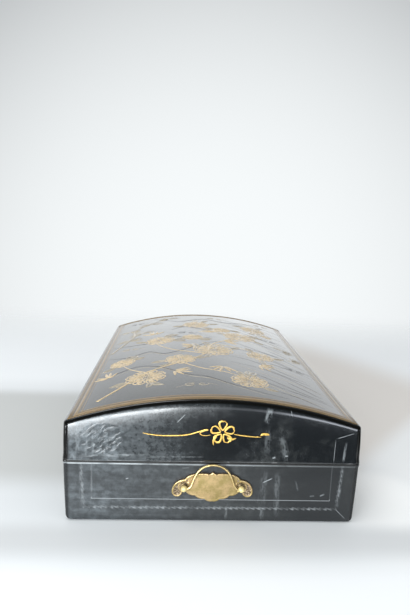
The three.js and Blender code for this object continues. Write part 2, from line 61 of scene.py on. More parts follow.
caseForm = {
    "archRise": 21 * mm,
    "topBoard": 7 * mm,
    "skin": 0.6 * mm,  # the lacquer lies this far under the lid's full height, to leave room for the relief
    "cornerRound": 5 * mm,
    "footRound": 4.5 * mm,
    "topRound": 2.9 * mm,  # of the lid's upper edges
    "innerRound": 1.5 * mm,
    "lipRound": 0.7 * mm,
    "lipSteps": 3,
    "lipFlare": 0.4 * mm,  # both mouths stand this far proud of the walls
    "flareReach": 3.5 * mm,
    "footTaper": 1.6 * mm,  # the base is this much narrower at its foot, on each long side
    "taperPower": 1.5,
    "guard": 1.2 * mm,
    "pillow": 2.7 * mm,  # how far the gables lean in under the arch
    "pillowReach": 20 * mm,
    "pillowPower": 1.75,
    "pillowBack": 35 * mm,  # how far back along the lid the lean dies out
}
archRadius = (halfWidth ** 2 + caseForm["archRise"] ** 2) / (2 * caseForm["archRise"])
archCentre = crown - archRadius
skinRadius = archRadius - caseForm["skin"]


def archHeight(x, depth=0.0):
    return archCentre + sqrt((archRadius - depth) ** 2 - x ** 2)


# A smooth step from 0 to 1 between two values
def step(value, start, end):
    t = min(1.0, max(0.0, (value - start) / (end - start)))
    return t * t * (3 - 2 * t)


# How far a wall stands back from the full size of its mouth
def flareAt(away):
    return caseForm["lipFlare"] * step(away, 0.0, caseForm["flareReach"])


# How far a gable leans in at a depth below the arch
def pillowAt(depth):
    return caseForm["pillow"] * max(0.0, 1 - depth / caseForm["pillowReach"]) ** caseForm["pillowPower"]


# Mesh tools
weldReach = 1e-6
bevelAngle = 40


def recalculate(mesh):
    form = bmesh.new()
    form.from_mesh(mesh)
    bmesh.ops.remove_doubles(form, verts=form.verts, dist=weldReach)
    bmesh.ops.recalc_face_normals(form, faces=form.faces)
    form.to_mesh(mesh)
    form.free()


def makePiece(name, form, materials, body, indices=None, crease=None):
    points, faces = form
    mesh = bpy.data.meshes.new(name)
    mesh.from_pydata([tuple(p) for p in points], [], faces)
    for material in materials:
        mesh.materials.append(material)
    if indices:
        mesh.polygons.foreach_set("material_index", indices)
    recalculate(mesh)
    mesh.polygons.foreach_set("use_smooth", [True] * len(mesh.polygons))
    if crease:
        mesh.set_sharp_from_angle(angle=radians(crease))
    piece = bpy.data.objects.new(name, mesh)
    bpy.context.scene.collection.objects.link(piece)
    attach(piece, body)
    return piece


def addBevel(piece, width, segments=2):
    bevel = piece.modifiers.new("soft_edges", "BEVEL")
    bevel.width = width
    bevel.segments = segments
    bevel.limit_method = "ANGLE"
    bevel.angle_limit = radians(bevelAngle)
    bevel.harden_normals = False
    even = piece.modifiers.new("even_normals", "WEIGHTED_NORMAL")
    even.keep_sharp = True


# A smooth line through points, as more points
def smoothLine(points, spans=6, closed=False):
    count = len(points)
    out = []
    for i in range(count if closed else count - 1):
        if closed:
            p = [points[(i + k - 1) % count] for k in range(4)]
        else:
            p = [points[min(max(i + k - 1, 0), count - 1)] for k in range(4)]
        for part in range(spans):
            t = part / spans
            out.append(tuple(
                b + ((c - a) * t + (2 * a - 5 * b + 4 * c - d) * t * t + (3 * (b - c) + d - a) * t ** 3) / 2
                for a, b, c, d in zip(*p)
            ))
    if not closed:
        out.append(tuple(points[-1]))
    return out


def arc(centre, radius, start, end, steps):
    angles = [radians(start + (end - start) * i / steps) for i in range(steps + 1)]
    return [(centre[0] + radius * cos(a), centre[1] + radius * sin(a)) for a in angles]


# A clockwise outline of cusps [across, up, bulge], with an arc from each to the next
def lobedOutline(cusps, steps=8):
    out = []
    for i, (x, y, bulge) in enumerate(cusps):
        nextX, nextY = cusps[(i + 1) % len(cusps)][:2]
        if bulge == 0:
            out.append((x, y))
            continue
        length = hypot(nextX - x, nextY - y)
        alongX, alongY = (nextX - x) / length, (nextY - y) / length
        half = 2 * atan(2 * bulge / length)
        radius = length / (2 * sin(half))
        midX = (x + nextX) / 2 + alongY * radius * cos(half)
        midY = (y + nextY) / 2 - alongX * radius * cos(half)
        for k in range(steps):
            angle = half * (2 * k / steps - 1)
            along, away = radius * sin(angle), radius * cos(angle)
            out.append((midX + alongX * along - alongY * away, midY + alongY * along + alongX * away))
    return out


# Both halves of a form, from the cusps of its right half
def mirrored(half):
    back = [(-x, y, half[i][2]) for i, (x, y, _) in enumerate(half[1:])]
    return list(half[:-1]) + back[::-1]


# Node tools
socketKinds = {"value": "NodeSocketFloat", "colour": "NodeSocketColor", "vector": "NodeSocketVector"}


# A value on its way through a node tree. Arithmetic on it adds Math nodes to that tree
class Signal:
    def __init__(self, socket):
        self.socket = socket
        self.tree = socket.id_data

    def __add__(self, other):
        return calc("ADD", self, other)

    def __sub__(self, other):
        return calc("SUBTRACT", self, other)

    def __rsub__(self, other):
        return calc("SUBTRACT", other, self)

    def __mul__(self, other):
        return calc("MULTIPLY", self, other)

    def __truediv__(self, other):
        return calc("DIVIDE", self, other)

    def __pow__(self, other):
        return calc("POWER", self, other)

    def __abs__(self):
        return calc("ABSOLUTE", self)


def outputsOf(node):
    return {socket.name: Signal(socket) for socket in node.outputs}


def join(value, socket):
    if isinstance(value, Signal):
        value.tree.links.new(value.socket, socket)
    else:
        socket.default_value = value


# A node with its inputs set or linked, in the tree that the values' first signal belongs to
def addNode(kind, inputs, **settings):
    tree = next(value.tree for value in inputs.values() if isinstance(value, Signal))
    node = tree.nodes.new(f"ShaderNode{kind}")
    for name, setting in settings.items():
        setattr(node, name, setting)
    for label, value in inputs.items():
        join(value, node.inputs[label])
    return node


def calc(operation, *values, clamp=False):
    node = addNode("Math", dict(enumerate(values)), operation=operation, use_clamp=clamp)
    return Signal(node.outputs[0])


def fade(value, start, end, low=0.0, high=1.0):
    inputs = {"Value": value, "From Min": start, "From Max": end, "To Min": low, "To Max": high}
    return Signal(addNode("MapRange", inputs, interpolation_type="SMOOTHSTEP").outputs["Result"])


def fadeOut(value, start, end):
    return fade(value, start, end, 1.0, 0.0)


def noiseOf(vector, scale, detail=4.0, roughness=0.55, distortion=0.0):
    inputs = {
        "Vector": vector, "Scale": scale, "Detail": detail, "Roughness": roughness, "Distortion": distortion,
    }
    return Signal(addNode("TexNoise", inputs).outputs["Fac"])


def blendColour(share, first, second, kind="MIX"):
    node = addNode("Mix", {0: share, 6: first, 7: second}, data_type="RGBA", blend_type=kind)
    return Signal(node.outputs[2])


def blendValue(share, first, second):
    return Signal(addNode("Mix", {0: share, 2: first, 3: second}).outputs[0])


def largest(*values):
    result = values[0]
    for value in values[1:]:
        result = calc("MAXIMUM", result, value)
    return result


# Inputs are labels with defaults: a number, a colour or, for a vector, None. Outputs are labels with kinds
def newGroup(name, inputs, outputs):
    group = bpy.data.node_groups.new(name, "ShaderNodeTree")
    for label, value in inputs.items():
        kind = "vector" if value is None else "colour" if isinstance(value, tuple) else "value"
        socket = group.interface.new_socket(label, in_out="INPUT", socket_type=socketKinds[kind])
        if value is not None:
            socket.default_value = value
    for label, kind in outputs.items():
        group.interface.new_socket(label, in_out="OUTPUT", socket_type=socketKinds[kind])
    return group, outputsOf(group.nodes.new("NodeGroupInput")), group.nodes.new("NodeGroupOutput").inputs


def useGroup(group, values):
    return outputsOf(addNode("Group", values, node_tree=group))


def newMaterial(name):
    material = bpy.data.materials.new(name)
    material.use_nodes = True
    nodes = material.node_tree.nodes
    return material, nodes["Principled BSDF"], Signal(nodes.new("ShaderNodeTexCoord").outputs["Object"])


def splitPlace(place):
    return [Signal(socket) for socket in addNode("SeparateXYZ", {0: place}).outputs]


def joinPlace(x, y, z):
    return Signal(addNode("CombineXYZ", {0: x, 1: y, 2: z}).outputs[0])


def dress(shader, inputs):
    for label, value in inputs.items():
        join(value, shader.inputs[label])


def addBump(shader, height):
    bump = addNode("Bump", {"Height": height, "Strength": 1.0, "Distance": 1.0})
    join(Signal(bump.outputs["Normal"]), shader.inputs["Normal"])


# A place whose X, or X and Y, count for less, so that a pattern on it is drawn out that way
def stretched(place, stretchX, stretchY=1.0):
    x, y, z = splitPlace(place)
    return joinPlace(x / stretchX, y / stretchY, z)


# Squared distance from a middle, counted in reaches
def awayFrom(values, middles, reaches):
    shares = [(value - middle) / reach for value, middle, reach in zip(values, middles, reaches)]
    return shares[0] * shares[0] + shares[1] * shares[1]


# Effects that several materials share
effectShape = {
    "fineClouds": (5.2, 0.32),  # scale and share of the smaller clouds in grime
    "rubBreaks": (0.38, 0.72, 0.12, 1.5),
    "softEdge": (0.3, 1.0),  # of a line, from its middle to its side
    "markRun": 0.35,  # a mark's breaks are drawn out along it
    "markBreaks": (0.4, 0.62),
    "markEnds": (0.5, 1.0),
    "markSides": (0.25, 1.0),
    "scatterAxis": (0.28, 0.84, 0.46),
    "scatterCore": 0.4,
    "hollows": (0.44, 0.6),
    "tarnishClouds": (0.36, 0.68, 0.6),  # where they start and end, and their share in the mask
    "tarnishSpots": (0.56, 0.7, 5.0),  # where they start and end, and how much finer they are
}


def makeGrime():
    group, take, give = newGroup("grime", {
        "Vector": None, "Scale": 30.0, "Low": 0.42, "High": 0.68,
    }, {"Mask": "value"})
    clouds = noiseOf(take["Vector"], take["Scale"], detail=7.0, roughness=0.62)
    finer, share = effectShape["fineClouds"]
    fine = noiseOf(take["Vector"], take["Scale"] * finer, detail=4.0, roughness=0.6)
    mixed = blendValue(share, clouds, fine)
    join(fade(mixed, take["Low"], take["High"]), give["Mask"])
    return group


def makeEdgeRub():
    group, take, give = newGroup("edge_rub", {
        "Vector": None, "Distance": 0.0, "Reach": 0.002, "Scale": 150.0, "Amount": 1.0,
    }, {"Mask": "value"})
    broken = noiseOf(take["Vector"], take["Scale"], detail=6.0, roughness=0.68)
    reach = take["Reach"] * fade(broken, *effectShape["rubBreaks"])
    share = take["Distance"] / reach
    rub = fadeOut(share, *effectShape["softEdge"])
    join(rub * take["Amount"], give["Mask"])
    return group


# One mark on a flat side: a drip, a splash or a scratch, long or short, at an angle
def makeMark():
    group, take, give = newGroup("mark", {
        "Across": 0.0, "Up": 0.0, "Mid Across": 0.0, "Mid Up": 0.0, "Angle": 0.0, "Length": 0.01,
        "Width": 0.001, "Breaks": 400.0, "Ragged": 1.0, "Amount": 1.0,
    }, {"Mask": "value"})
    right = take["Across"] - take["Mid Across"]
    up = take["Up"] - take["Mid Up"]
    cosine = calc("COSINE", take["Angle"])
    sine = calc("SINE", take["Angle"])
    along = right * cosine + up * sine
    aside = up * cosine - right * sine
    drawn = joinPlace(along * effectShape["markRun"], aside, take["Mid Across"])
    broken = noiseOf(drawn, take["Breaks"], detail=5.0, roughness=0.7)
    gaps = fade(broken, *effectShape["markBreaks"])
    cover = blendValue(take["Ragged"], 1.0, gaps)
    longShare = abs(along) / take["Length"]
    sideShare = abs(aside) / take["Width"]
    body = fadeOut(longShare, *effectShape["markEnds"]) * fadeOut(sideShare, *effectShape["markSides"])
    mask = body * cover * take["Amount"]
    join(mask, give["Mask"])
    return group


# Fine scratches or specks scattered over a surface
def makeScatter():
    group, take, give = newGroup("scatter", {
        "Vector": None, "Turn": 0.6, "Scale": 90.0, "Stretch": 12.0, "Size": 0.05, "Share": 0.3,
    }, {"Mask": "value"})
    turned = addNode("VectorRotate", {
        "Vector": take["Vector"], "Axis": effectShape["scatterAxis"], "Angle": take["Turn"],
    })
    drawn = stretched(Signal(turned.outputs[0]), take["Stretch"])
    cells = outputsOf(addNode("TexVoronoi", {"Vector": drawn, "Scale": take["Scale"]}))
    chosen = calc("LESS_THAN", splitPlace(cells["Color"])[0], take["Share"])
    near = fadeOut(cells["Distance"], take["Size"] * effectShape["scatterCore"], take["Size"])
    join(chosen * near, give["Mask"])
    return group


# A line round a side panel, a set way in from its upright edges and up from its foot
def makePanelLine():
    group, take, give = newGroup("panel_line", {
        "Inset": 0.0, "Up": 0.0, "Line Inset": 0.022, "Line Up": 0.019, "Width": 0.0004, "Shift": 0.0,
    }, {"Mask": "value"})
    sideways = take["Inset"] - take["Line Inset"]
    upward = take["Up"] - take["Line Up"]
    nearest = calc("MINIMUM", sideways, upward) + take["Shift"]
    share = abs(nearest) / take["Width"]
    join(fadeOut(share, *effectShape["softEdge"]), give["Mask"])
    return group


# Unevenness of a surface that was filled and rubbed down by hand, as a height in metres
def makeHandFinish():
    group, take, give = newGroup("hand_finish", {
        "Vector": None, "Broad Scale": 18.0, "Broad Height": 0.0003, "Fine Scale": 160.0,
        "Fine Height": 0.00003,
    }, {"Height": "value"})
    broad = noiseOf(take["Vector"], take["Broad Scale"], detail=2.0, roughness=0.5)
    fine = noiseOf(take["Vector"], take["Fine Scale"], detail=3.0, roughness=0.55)
    join(broad * take["Broad Height"] + fine * take["Fine Height"], give["Height"])
    return group


# Level streaks, as a rag leaves them
def makeWipe():
    group, take, give = newGroup("wipe", {
        "Vector": None, "Scale": 260.0, "Stretch": 9.0, "Low": 0.38, "High": 0.66,
    }, {"Mask": "value"})
    drawn = stretched(take["Vector"], take["Stretch"], take["Stretch"])
    streaks = noiseOf(drawn, take["Scale"], detail=4.0, roughness=0.6)
    join(fade(streaks, take["Low"], take["High"]), give["Mask"])
    return group


# Slanting hollows, as in a surface that was pressed or dried unevenly
def makeDents():
    group, take, give = newGroup("dents", {
        "Vector": None, "Turn": 0.75, "Stretch": 2.6, "Scale": 100.0, "Depth": 0.0003,
    }, {"Height": "value"})
    inputs = {"Vector": take["Vector"], "Angle": take["Turn"]}
    turned = addNode("VectorRotate", inputs, rotation_type="Y_AXIS")
    drawn = stretched(Signal(turned.outputs[0]), take["Stretch"])
    hollow = fade(noiseOf(drawn, take["Scale"], detail=2.0, roughness=0.5), *effectShape["hollows"])
    join(hollow * (take["Depth"] * -1.0), give["Height"])
    return group


def makeTarnish():
    group, take, give = newGroup("tarnish", {
        "Vector": None, "Clean": (0.7, 0.5, 0.25, 1), "Dull": (0.4, 0.3, 0.15, 1),
        "Spot": (0.2, 0.1, 0.06, 1), "Scale": 120.0, "Spotting": 0.5,
    }, {"Colour": "colour", "Mask": "value"})
    cloudStart, cloudEnd, cloudShare = effectShape["tarnishClouds"]
    spotStart, spotEnd, finer = effectShape["tarnishSpots"]
    clouds = noiseOf(take["Vector"], take["Scale"], detail=6.0, roughness=0.62)
    clouds = fade(clouds, cloudStart, cloudEnd)
    fine = noiseOf(take["Vector"], take["Scale"] * finer, detail=4.0, roughness=0.65)
    spots = fade(fine, spotStart, spotEnd) * take["Spotting"]
    colour = blendColour(clouds, take["Clean"], take["Dull"])
    colour = blendColour(spots, colour, take["Spot"])
    join(colour, give["Colour"])
    join(largest(clouds * cloudShare, spots), give["Mask"])
    return group


grime = makeGrime()
edgeRub = makeEdgeRub()
mark = makeMark()
scatter = makeScatter()
panelLine = makePanelLine()
handFinish = makeHandFinish()
wipe = makeWipe()
dents = makeDents()
tarnish = makeTarnish()
print("shared effects made:", len(bpy.data.node_groups))


# Lacquer of the case
lacquerLook = {
    "black": (0.0055, 0.0068, 0.0078, 1),
    "filmAndSheen": (0.116, 0.134, 0.146, 1),  # grey of the dust film, which on the left also stands for a painted sheen
    "filmAndSheenRight": (0.118, 0.123, 0.118, 1),
    "paintedShadeBlack": (0.002, 0.0018, 0.0012, 1),
    "longSideFilm": 0.5,  # share of the dust film and its painted sheen along the two long sides
    "drip": (0.25, 0.27, 0.28, 1),
    "lip": (0.34, 0.365, 0.375, 1),  # worn line beside the seam, on the base also a painted highlight on the lip's rounding
    "lidLip": (0.24, 0.245, 0.245, 1),
    "hairline": (0.25, 0.265, 0.275, 1),
    "rubbed": (0.34, 0.335, 0.33, 1),
    "hairInset": 23 * mm,
    "hairUp": 19.7 * mm,
    "stitchInset": 14.6 * mm,
    "stitchSlant": 0.07,  # the stitched line leans in towards the foot by this share
    "stitchUp": 12.4 * mm,
    "stitchPitch": 4.6 * mm,
    "stitchSwing": 0.55 * mm,
    "dentMiddle": (-89 * mm, 71 * mm),  # where the gable's slanting dents lie
    "dentReach": (15 * mm, 11 * mm),
    "upperFilm": (1.7, 0.7),  # dust film and painted sheen on the base's upper half, on the right and on the left
    "footFilm": 0.66,
    "grain": (0.36, 0.64),
    "lipBreaks": (0.34, 0.6, 0.3),
    "lipRight": 0.16,  # share of the worn line and its painted highlight at the right end
    "rubRight": 0.45,
    "hairShare": 0.8,
    "panelWidth": 0.42 * mm,
    "panelLevel": (0.6, 0.14),  # of the panel line's level stretch and of its upright ones
    "stitchWidth": 1.25 * mm,
    "stitchLevel": (0.52, 0.3),
    "stitchWorn": (0.38, 0.6, 0.2),
    "dashes": (-0.8, 0.6, 0.5),
    "scratchShare": 0.5,
    "speckShare": 0.6,
    # Share of deep black, and gloss, where a painted dark reflection lies
    "blackShare": 0.9,
    "blackGloss": 0.12,
    "peelFrom": (-0.2, -0.6, 0.2),  # shares of the half width where the skin turns uneven, and its least
    "topPeel": (0.1, 0.08),
    "deepPeel": 0.25,
    "dentFade": (0.3, 1.5),
    "lineDepth": 0.1 * mm,
    "dirtHeight": 0.03 * mm,
}

# Where an effect starts and ends, in metres from the edge that it belongs to
caseReach = {
    "nearEnd": (8 * mm, 14 * mm),
    "topEdge": (1.2 * mm, 2.6 * mm),
    "topRub": 1.6 * mm,
    "footRub": 0.6 * mm,
    "cornerRub": 0.8 * mm,
    "rub": 1.3 * mm,
    "uprightRub": 1.0 * mm,
    "cornerFilm": (8 * mm, 22 * mm),
    "longSide": (8 * mm, 24 * mm),
    # Where the film gives way to a painted dark reflection, on the upright corners and under the arch
    "corner": (3.8 * mm, 6.6 * mm),
    "cornerShade": (3.6 * mm, 5.0 * mm),
    "underArch": (2.6 * mm, 5.2 * mm),
    "foot": (2 * mm, 12 * mm),
    "upper": (22 * mm, 34 * mm),
    "gap": 0.3 * mm,
    "lip": (1.1 * mm, 1.7 * mm),
    "panel": (0.5 * mm, 2 * mm),
    "outline": (2.4 * mm, 4 * mm),
    "bandStart": (0.7 * mm, 1.5 * mm),  # the painted black band along the arch, a dark reflection, on the ends only
    "bandEnd": (3 * mm, 4.4 * mm),
    "bandSide": (5.5 * mm, 8 * mm),
    "peel": (5 * mm, 14 * mm),
    "dents": (5 * mm, 10 * mm),
}

# Marks on the photographed end: across, up, angle, half length, half width in mm, ragged, amount
baseMarks = [
    (12, 10, 90, 9, 1.6, 1, 0.24),
    (41.4, 30, 87, 19, 4.4, 1, 0.15),
    (41.4, 8, 90, 7, 2.4, 1, 0.28),
    (53, 25, 92, 22, 3.2, 1, 0.2),
    (44.6, 37, 27, 5, 0.6, 0.3, 0.9),
    (69, 33, 104, 5.5, 0.9, 0.9, 0.24),
    (105, 32, 88, 20, 1.6, 1, 0.32),
    (82.2, 23.7, 10, 2.2, 0.9, 0.7, 0.4),
    (90.6, 24.7, 25, 2.4, 0.9, 0.7, 0.4),
    (-105, 30, 90, 22, 2.4, 1, 0.24),
    (-97, 34, 91, 17, 1.4, 1, 0.2),
    (-68.6, 37.2, 20, 1.4, 0.6, 0.2, 0.7),
    (-22, 47, 5, 3.4, 0.3, 0.3, 0.4),
]
lidMarks = [
    (42.3, 92, 78, 7, 3.4, 1, 0.5),
    (42.5, 70.5, 92, 12.5, 3.4, 1, 0.2),
    (56.3, 65, 106, 13, 4.0, 1, 0.28),
    (48.6, 57.2, 20, 1.6, 1.0, 0.3, 0.75),
    (58.7, 58.7, 0, 1.5, 0.9, 0.3, 0.75),
    (-27, 88.7, 46, 5.4, 0.42, 0.3, 0.85),
    (60.8, 94.6, 103, 3, 0.5, 0.4, 0.7),
    (106, 62.5, 86, 9.5, 1.4, 0.9, 0.45),
    (-95, 65.4, 60, 1.8, 1.2, 0.2, 0.75),
    (-108, 70, 92, 15, 2.2, 1, 0.3),
    (-101, 66, 88, 14, 1.6, 1, 0.26),
    (-96, 70, 91, 13, 1.2, 1, 0.3),
    (-80, 57, 2, 30, 1.4, 1, 0.5),
    (-30, 56.6, 1, 26, 0.9, 1, 0.3),
]
baseHairlines = [(107, 8, -44, 7, 0.4, 0.3, 0.7)]
lidHairlines = [(97.7, 63.5, 89, 10.8, 0.4, 0.3, 0.7), (105.8, 76.4, 17, 8.4, 0.4, 0.3, 0.7)]


def marksOf(at, rows):
    masks = []
    for x, z, angle, length, width, ragged, amount in rows:
        masks.append(useGroup(mark, {
            "Across": at.x, "Up": at.z, "Mid Across": x * mm, "Mid Up": z * mm, "Angle": radians(angle),
            "Length": length * mm, "Width": width * mm, "Ragged": float(ragged), "Amount": amount,
        })["Mask"])
    return largest(*masks)


# Distances over the case's skin: from its upright edges, its arch, its mouth and its foot
def casePlaces(isLid, place):
    x, y, z = splitPlace(place)
    at = SimpleNamespace(x=x, y=y, z=z, inY=halfLength - abs(y))
    inX = halfWidth - abs(x)
    at.upright = largest(inX, at.inY)
    at.skin = calc("MINIMUM", inX, at.inY)
    at.nearEnd = fadeOut(y, *[reach - halfLength for reach in caseReach["nearEnd"]])
    at.leftward = fade(x, halfWidth, -halfWidth)
    if isLid:
        at.drop = calc("SQRT", skinRadius ** 2 - x * x) + archCentre - z
        at.onTop = fadeOut(at.drop, *caseReach["topEdge"])
        at.sides = 1.0 - at.onTop
        at.fromMouth = z - lidBottom
        edge = largest(at.drop, at.skin) + caseReach["topRub"]
    else:
        at.fromMouth = seamTop - z
        edge = largest(z, at.skin) + caseReach["footRub"]
    at.edges = calc("MINIMUM", largest(at.fromMouth, at.skin), edge)
    return at


# Dust film on the lacquer with a painted sheen: stronger and lifted towards the left, where it stands for the
# lamp's haze
def dustAndSheenFilm(isLid, place, at, values):
    look, reach = lacquerLook, caseReach
    clouds = useGroup(grime, {
        "Vector": place, "Scale": values["filmScale"], "Low": values["filmLow"], "High": values["filmHigh"],
    })["Mask"]
    # Painted sheen: the film grows and is lifted towards the left
    share = fade(at.x, values["sheenFrom"] * halfWidth, values["sheenTo"] * halfWidth)
    filmAndSheen = clouds * blendValue(share, values["filmAndSheenRight"], values["filmAndSheenLeft"])
    filmAndSheen = filmAndSheen + blendValue(share, values["sheenRight"], values["sheenLeft"])
    filmAndSheen = filmAndSheen + fadeOut(at.upright, *reach["cornerFilm"]) * values["cornerFilm"]
    grains = noiseOf(place, values["grainScale"], detail=5.0, roughness=0.7)
    filmAndSheen = calc("MULTIPLY", filmAndSheen, fade(grains, *look["grain"], 1 - values["grain"], 1.0), clamp=True)
    filmAndSheen = filmAndSheen * fade(at.inY, *reach["longSide"], 1.0, look["longSideFilm"])
    streaks = useGroup(wipe, {"Vector": place})["Mask"]
    filmAndSheen = filmAndSheen * blendValue(streaks, values["streakLow"], values["streakHigh"])
    # The film thins out on the rounded corners and, on the lid, under the arch, where a painted dark
    # reflection lies
    filmAndSheen = filmAndSheen * fade(at.upright, *reach["corner"], values["cornerShare"], 1.0)
    if isLid:
        filmAndSheen = filmAndSheen * fade(at.drop, *reach["underArch"])
        return blendValue(at.onTop, filmAndSheen, values["topFilm"])
    filmAndSheen = filmAndSheen * fade(at.z, *reach["foot"], look["footFilm"], 1.0)
    return filmAndSheen * blendValue(fade(at.z, *reach["upper"]), 1.0, blendValue(at.leftward, *look["upperFilm"]))


def wornEdges(place, at, values):
    look, reach = lacquerLook, caseReach
    rub = useGroup(edgeRub, {
        "Vector": place, "Distance": at.edges, "Reach": reach["rub"],
        "Amount": blendValue(at.leftward, look["rubRight"] * values["rub"], values["rub"]),
    })["Mask"]
    cornerRub = useGroup(edgeRub, {
        "Vector": place, "Distance": at.upright - reach["cornerRub"], "Reach": reach["uprightRub"],
        "Scale": 90.0, "Amount": values["cornerRub"],
    })["Mask"]
    return largest(rub, cornerRub)


# The seam: a black gap of painted shade, and a worn line along the lip beside it, on the base also a painted
# highlight
def seamLines(place, at, values):
    look, edge = lacquerLook, values["seamShadeEdge"]
    # Painted shade in the seam; on the base this black line lies a little below the mouth
    gap = fadeOut(at.fromMouth, edge, edge + caseReach["gap"])
    # The worn line beside it, on the base also a painted highlight; it is broken and weaker towards the right
    band = fadeOut(at.fromMouth, *[edge + reach for reach in caseReach["lip"]])
    breaks = fade(noiseOf(place, 42.0, detail=5.0, roughness=0.62), *look["lipBreaks"], 1.0)
    return gap, band * breaks * values["lip"] * blendValue(at.leftward, look["lipRight"], 1.0)


# The base's thin panel line, and the scratched line outside it that looks like stitching
def panelLines(place, at):
    look = lacquerLook
    panel = useGroup(panelLine, {
        "Inset": at.upright, "Up": at.z, "Line Inset": look["hairInset"], "Line Up": look["hairUp"],
        "Width": look["panelWidth"],
    })["Mask"]
    panel = panel * fade(at.z, *[look["hairUp"] + reach for reach in caseReach["panel"]], *look["panelLevel"])
    swing = calc("SINE", (at.x + at.y + at.z) * (2 * pi / look["stitchPitch"]))
    stitch = useGroup(panelLine, {
        "Inset": at.upright, "Up": at.z, "Line Up": look["stitchUp"], "Width": look["stitchWidth"],
        "Line Inset": (seamTop - at.z) * look["stitchSlant"] + look["stitchInset"],
        "Shift": swing * look["stitchSwing"],
    })["Mask"]
    worn = fade(noiseOf(place, 95.0, detail=6.0, roughness=0.7), *look["stitchWorn"], 1.0)
    stitch = stitch * worn * fade(swing, *look["dashes"], 1.0)
    return panel, stitch * fade(at.z, look["stitchUp"], look["hairUp"], *look["stitchLevel"])


# Heights in metres: the filled ground, the dents on the left of the gable, and the marks
def caseHeight(isLid, place, at, values, lines, dirtAndShade):
    look, reach = lacquerLook, caseReach
    start, end, least = look["peelFrom"]
    peel = fade(at.x, start * halfWidth, end * halfWidth, least, 1.0)
    if isLid:
        peel = blendValue(at.onTop, peel, look["topPeel"][0])
        peel = peel * fade(at.drop, *reach["peel"], look["deepPeel"], 1.0)
        peel = largest(peel, at.onTop * look["topPeel"][1])
    height = useGroup(handFinish, {
        "Vector": place, "Broad Scale": values["broadScale"], "Broad Height": values["broadHeight"],
        "Fine Scale": values["fineScale"], "Fine Height": peel * values["fineHeight"],
    })["Height"]
    hollows = useGroup(dents, {
        "Vector": place, "Scale": values["dentScale"], "Depth": values["dents"],
    })["Height"]
    away = awayFrom((at.x, at.z), look["dentMiddle"], look["dentReach"])
    dented = fade(away, *look["dentFade"], 1.0, values["dentsElsewhere"])
    if isLid:
        dented = dented * (at.sides * fade(at.drop, *reach["dents"]))
    return height + hollows * dented - lines * look["lineDepth"] + dirtAndShade * look["dirtHeight"]


def caseLacquer(name, isLid, values):
    look, reach = lacquerLook, caseReach
    material, shader, place = newMaterial(name)
    at = casePlaces(isLid, place)
    filmAndSheen = dustAndSheenFilm(isLid, place, at, values)
    rub = wornEdges(place, at, values)
    gap, lip = seamLines(place, at, values)
    dirtAndShade = marksOf(at, values["marks"]) * at.nearEnd
    lines = marksOf(at, values["hairlines"]) * at.nearEnd * look["hairShare"]
    scratches = useGroup(scatter, {
        "Vector": place, "Turn": 0.7, "Scale": 85.0, "Stretch": 14.0, "Size": 0.032,
        "Share": values["scratches"],
    })["Mask"]
    specks = useGroup(scatter, {
        "Vector": place, "Turn": 0.2, "Scale": 150.0, "Stretch": 1.0, "Size": 0.085,
        "Share": values["specks"],
    })["Mask"]
    if isLid:
        dirtAndShade = dirtAndShade * at.sides
        lines = lines * at.sides
    else:
        panel, stitch = panelLines(place, at)
        lines = largest(lines, panel, stitch) * fadeOut(at.skin, *reach["outline"])

    colour = blendColour(filmAndSheen, look["black"], blendColour(at.leftward, look["filmAndSheenRight"], look["filmAndSheen"]))
    colour = blendColour(rub, colour, look["rubbed"])
    colour = blendColour(scratches * look["scratchShare"], colour, look["hairline"])
    colour = blendColour(largest(dirtAndShade, specks * look["speckShare"]), colour, look["drip"])
    colour = blendColour(lines, colour, look["hairline"])
    colour = blendColour(lip, colour, look["lidLip" if isLid else "lip"])
    colour = blendColour(gap, colour, look["paintedShadeBlack"])

    dull = largest(filmAndSheen, rub, lines, dirtAndShade, lip, gap)
    rough = blendValue(dull, blendValue(at.leftward, values["glossRight"], values["gloss"]), values["dull"])
    coat = blendValue(at.leftward, values["coatRight"], values["coat"])
    # Painted dark reflection: the rounded upright corners and, on the lid's ends, a band under the arch turn
    # deep black and lose their coat
    black = fade(at.upright, *reach["cornerShade"], values["cornerShade"], 0.0)
    if isLid:
        coat = blendValue(at.onTop, coat, values["topCoat"])
        band = fade(at.drop, *reach["bandStart"]) * fadeOut(at.drop, *reach["bandEnd"])
        black = largest(black, band * fadeOut(at.inY, *reach["bandSide"]))
    dress(shader, {
        "Base Color": blendColour(black * look["blackShare"], colour, look["paintedShadeBlack"]),
        "Roughness": blendValue(black, rough, look["blackGloss"]),
        "Coat Weight": (1.0 - dull) * (1.0 - black) * coat,
        "Coat Roughness": values["coatRoughness"],
        "Coat IOR": values["coatIndex"],
    })
    addBump(shader, caseHeight(isLid, place, at, values, lines, dirtAndShade))
    return material


baseLacquer = caseLacquer("base_lacquer", False, {
    "filmScale": 26.0, "filmLow": 0.36, "filmHigh": 0.74, "sheenFrom": 1.0, "sheenTo": -1.0, "filmAndSheenLeft": 0.5,
    "filmAndSheenRight": 0.04, "sheenLeft": 0.34, "sheenRight": -0.05, "cornerFilm": 0.08, "cornerShare": 0.3,
    "grain": 0.55, "grainScale": 190.0, "streakLow": 0.72, "streakHigh": 1.22,
    "scratches": 0.14, "specks": 0.05, "marks": baseMarks, "hairlines": baseHairlines,
    "cornerShade": 0.5, "seamShadeEdge": 1.25 * mm, "lip": 0.85, "rub": 0.6, "cornerRub": 0.12,
    "gloss": 0.36, "glossRight": 0.36, "dull": 0.55,
    "coat": 0.2, "coatRight": 0.2, "coatRoughness": 0.3, "coatIndex": 1.5,
    "broadScale": 14.0, "broadHeight": 0.45 * mm, "fineScale": 260.0, "fineHeight": 0.03 * mm,
    "dentScale": 160.0, "dents": 0.05 * mm, "dentsElsewhere": 0.3,
})
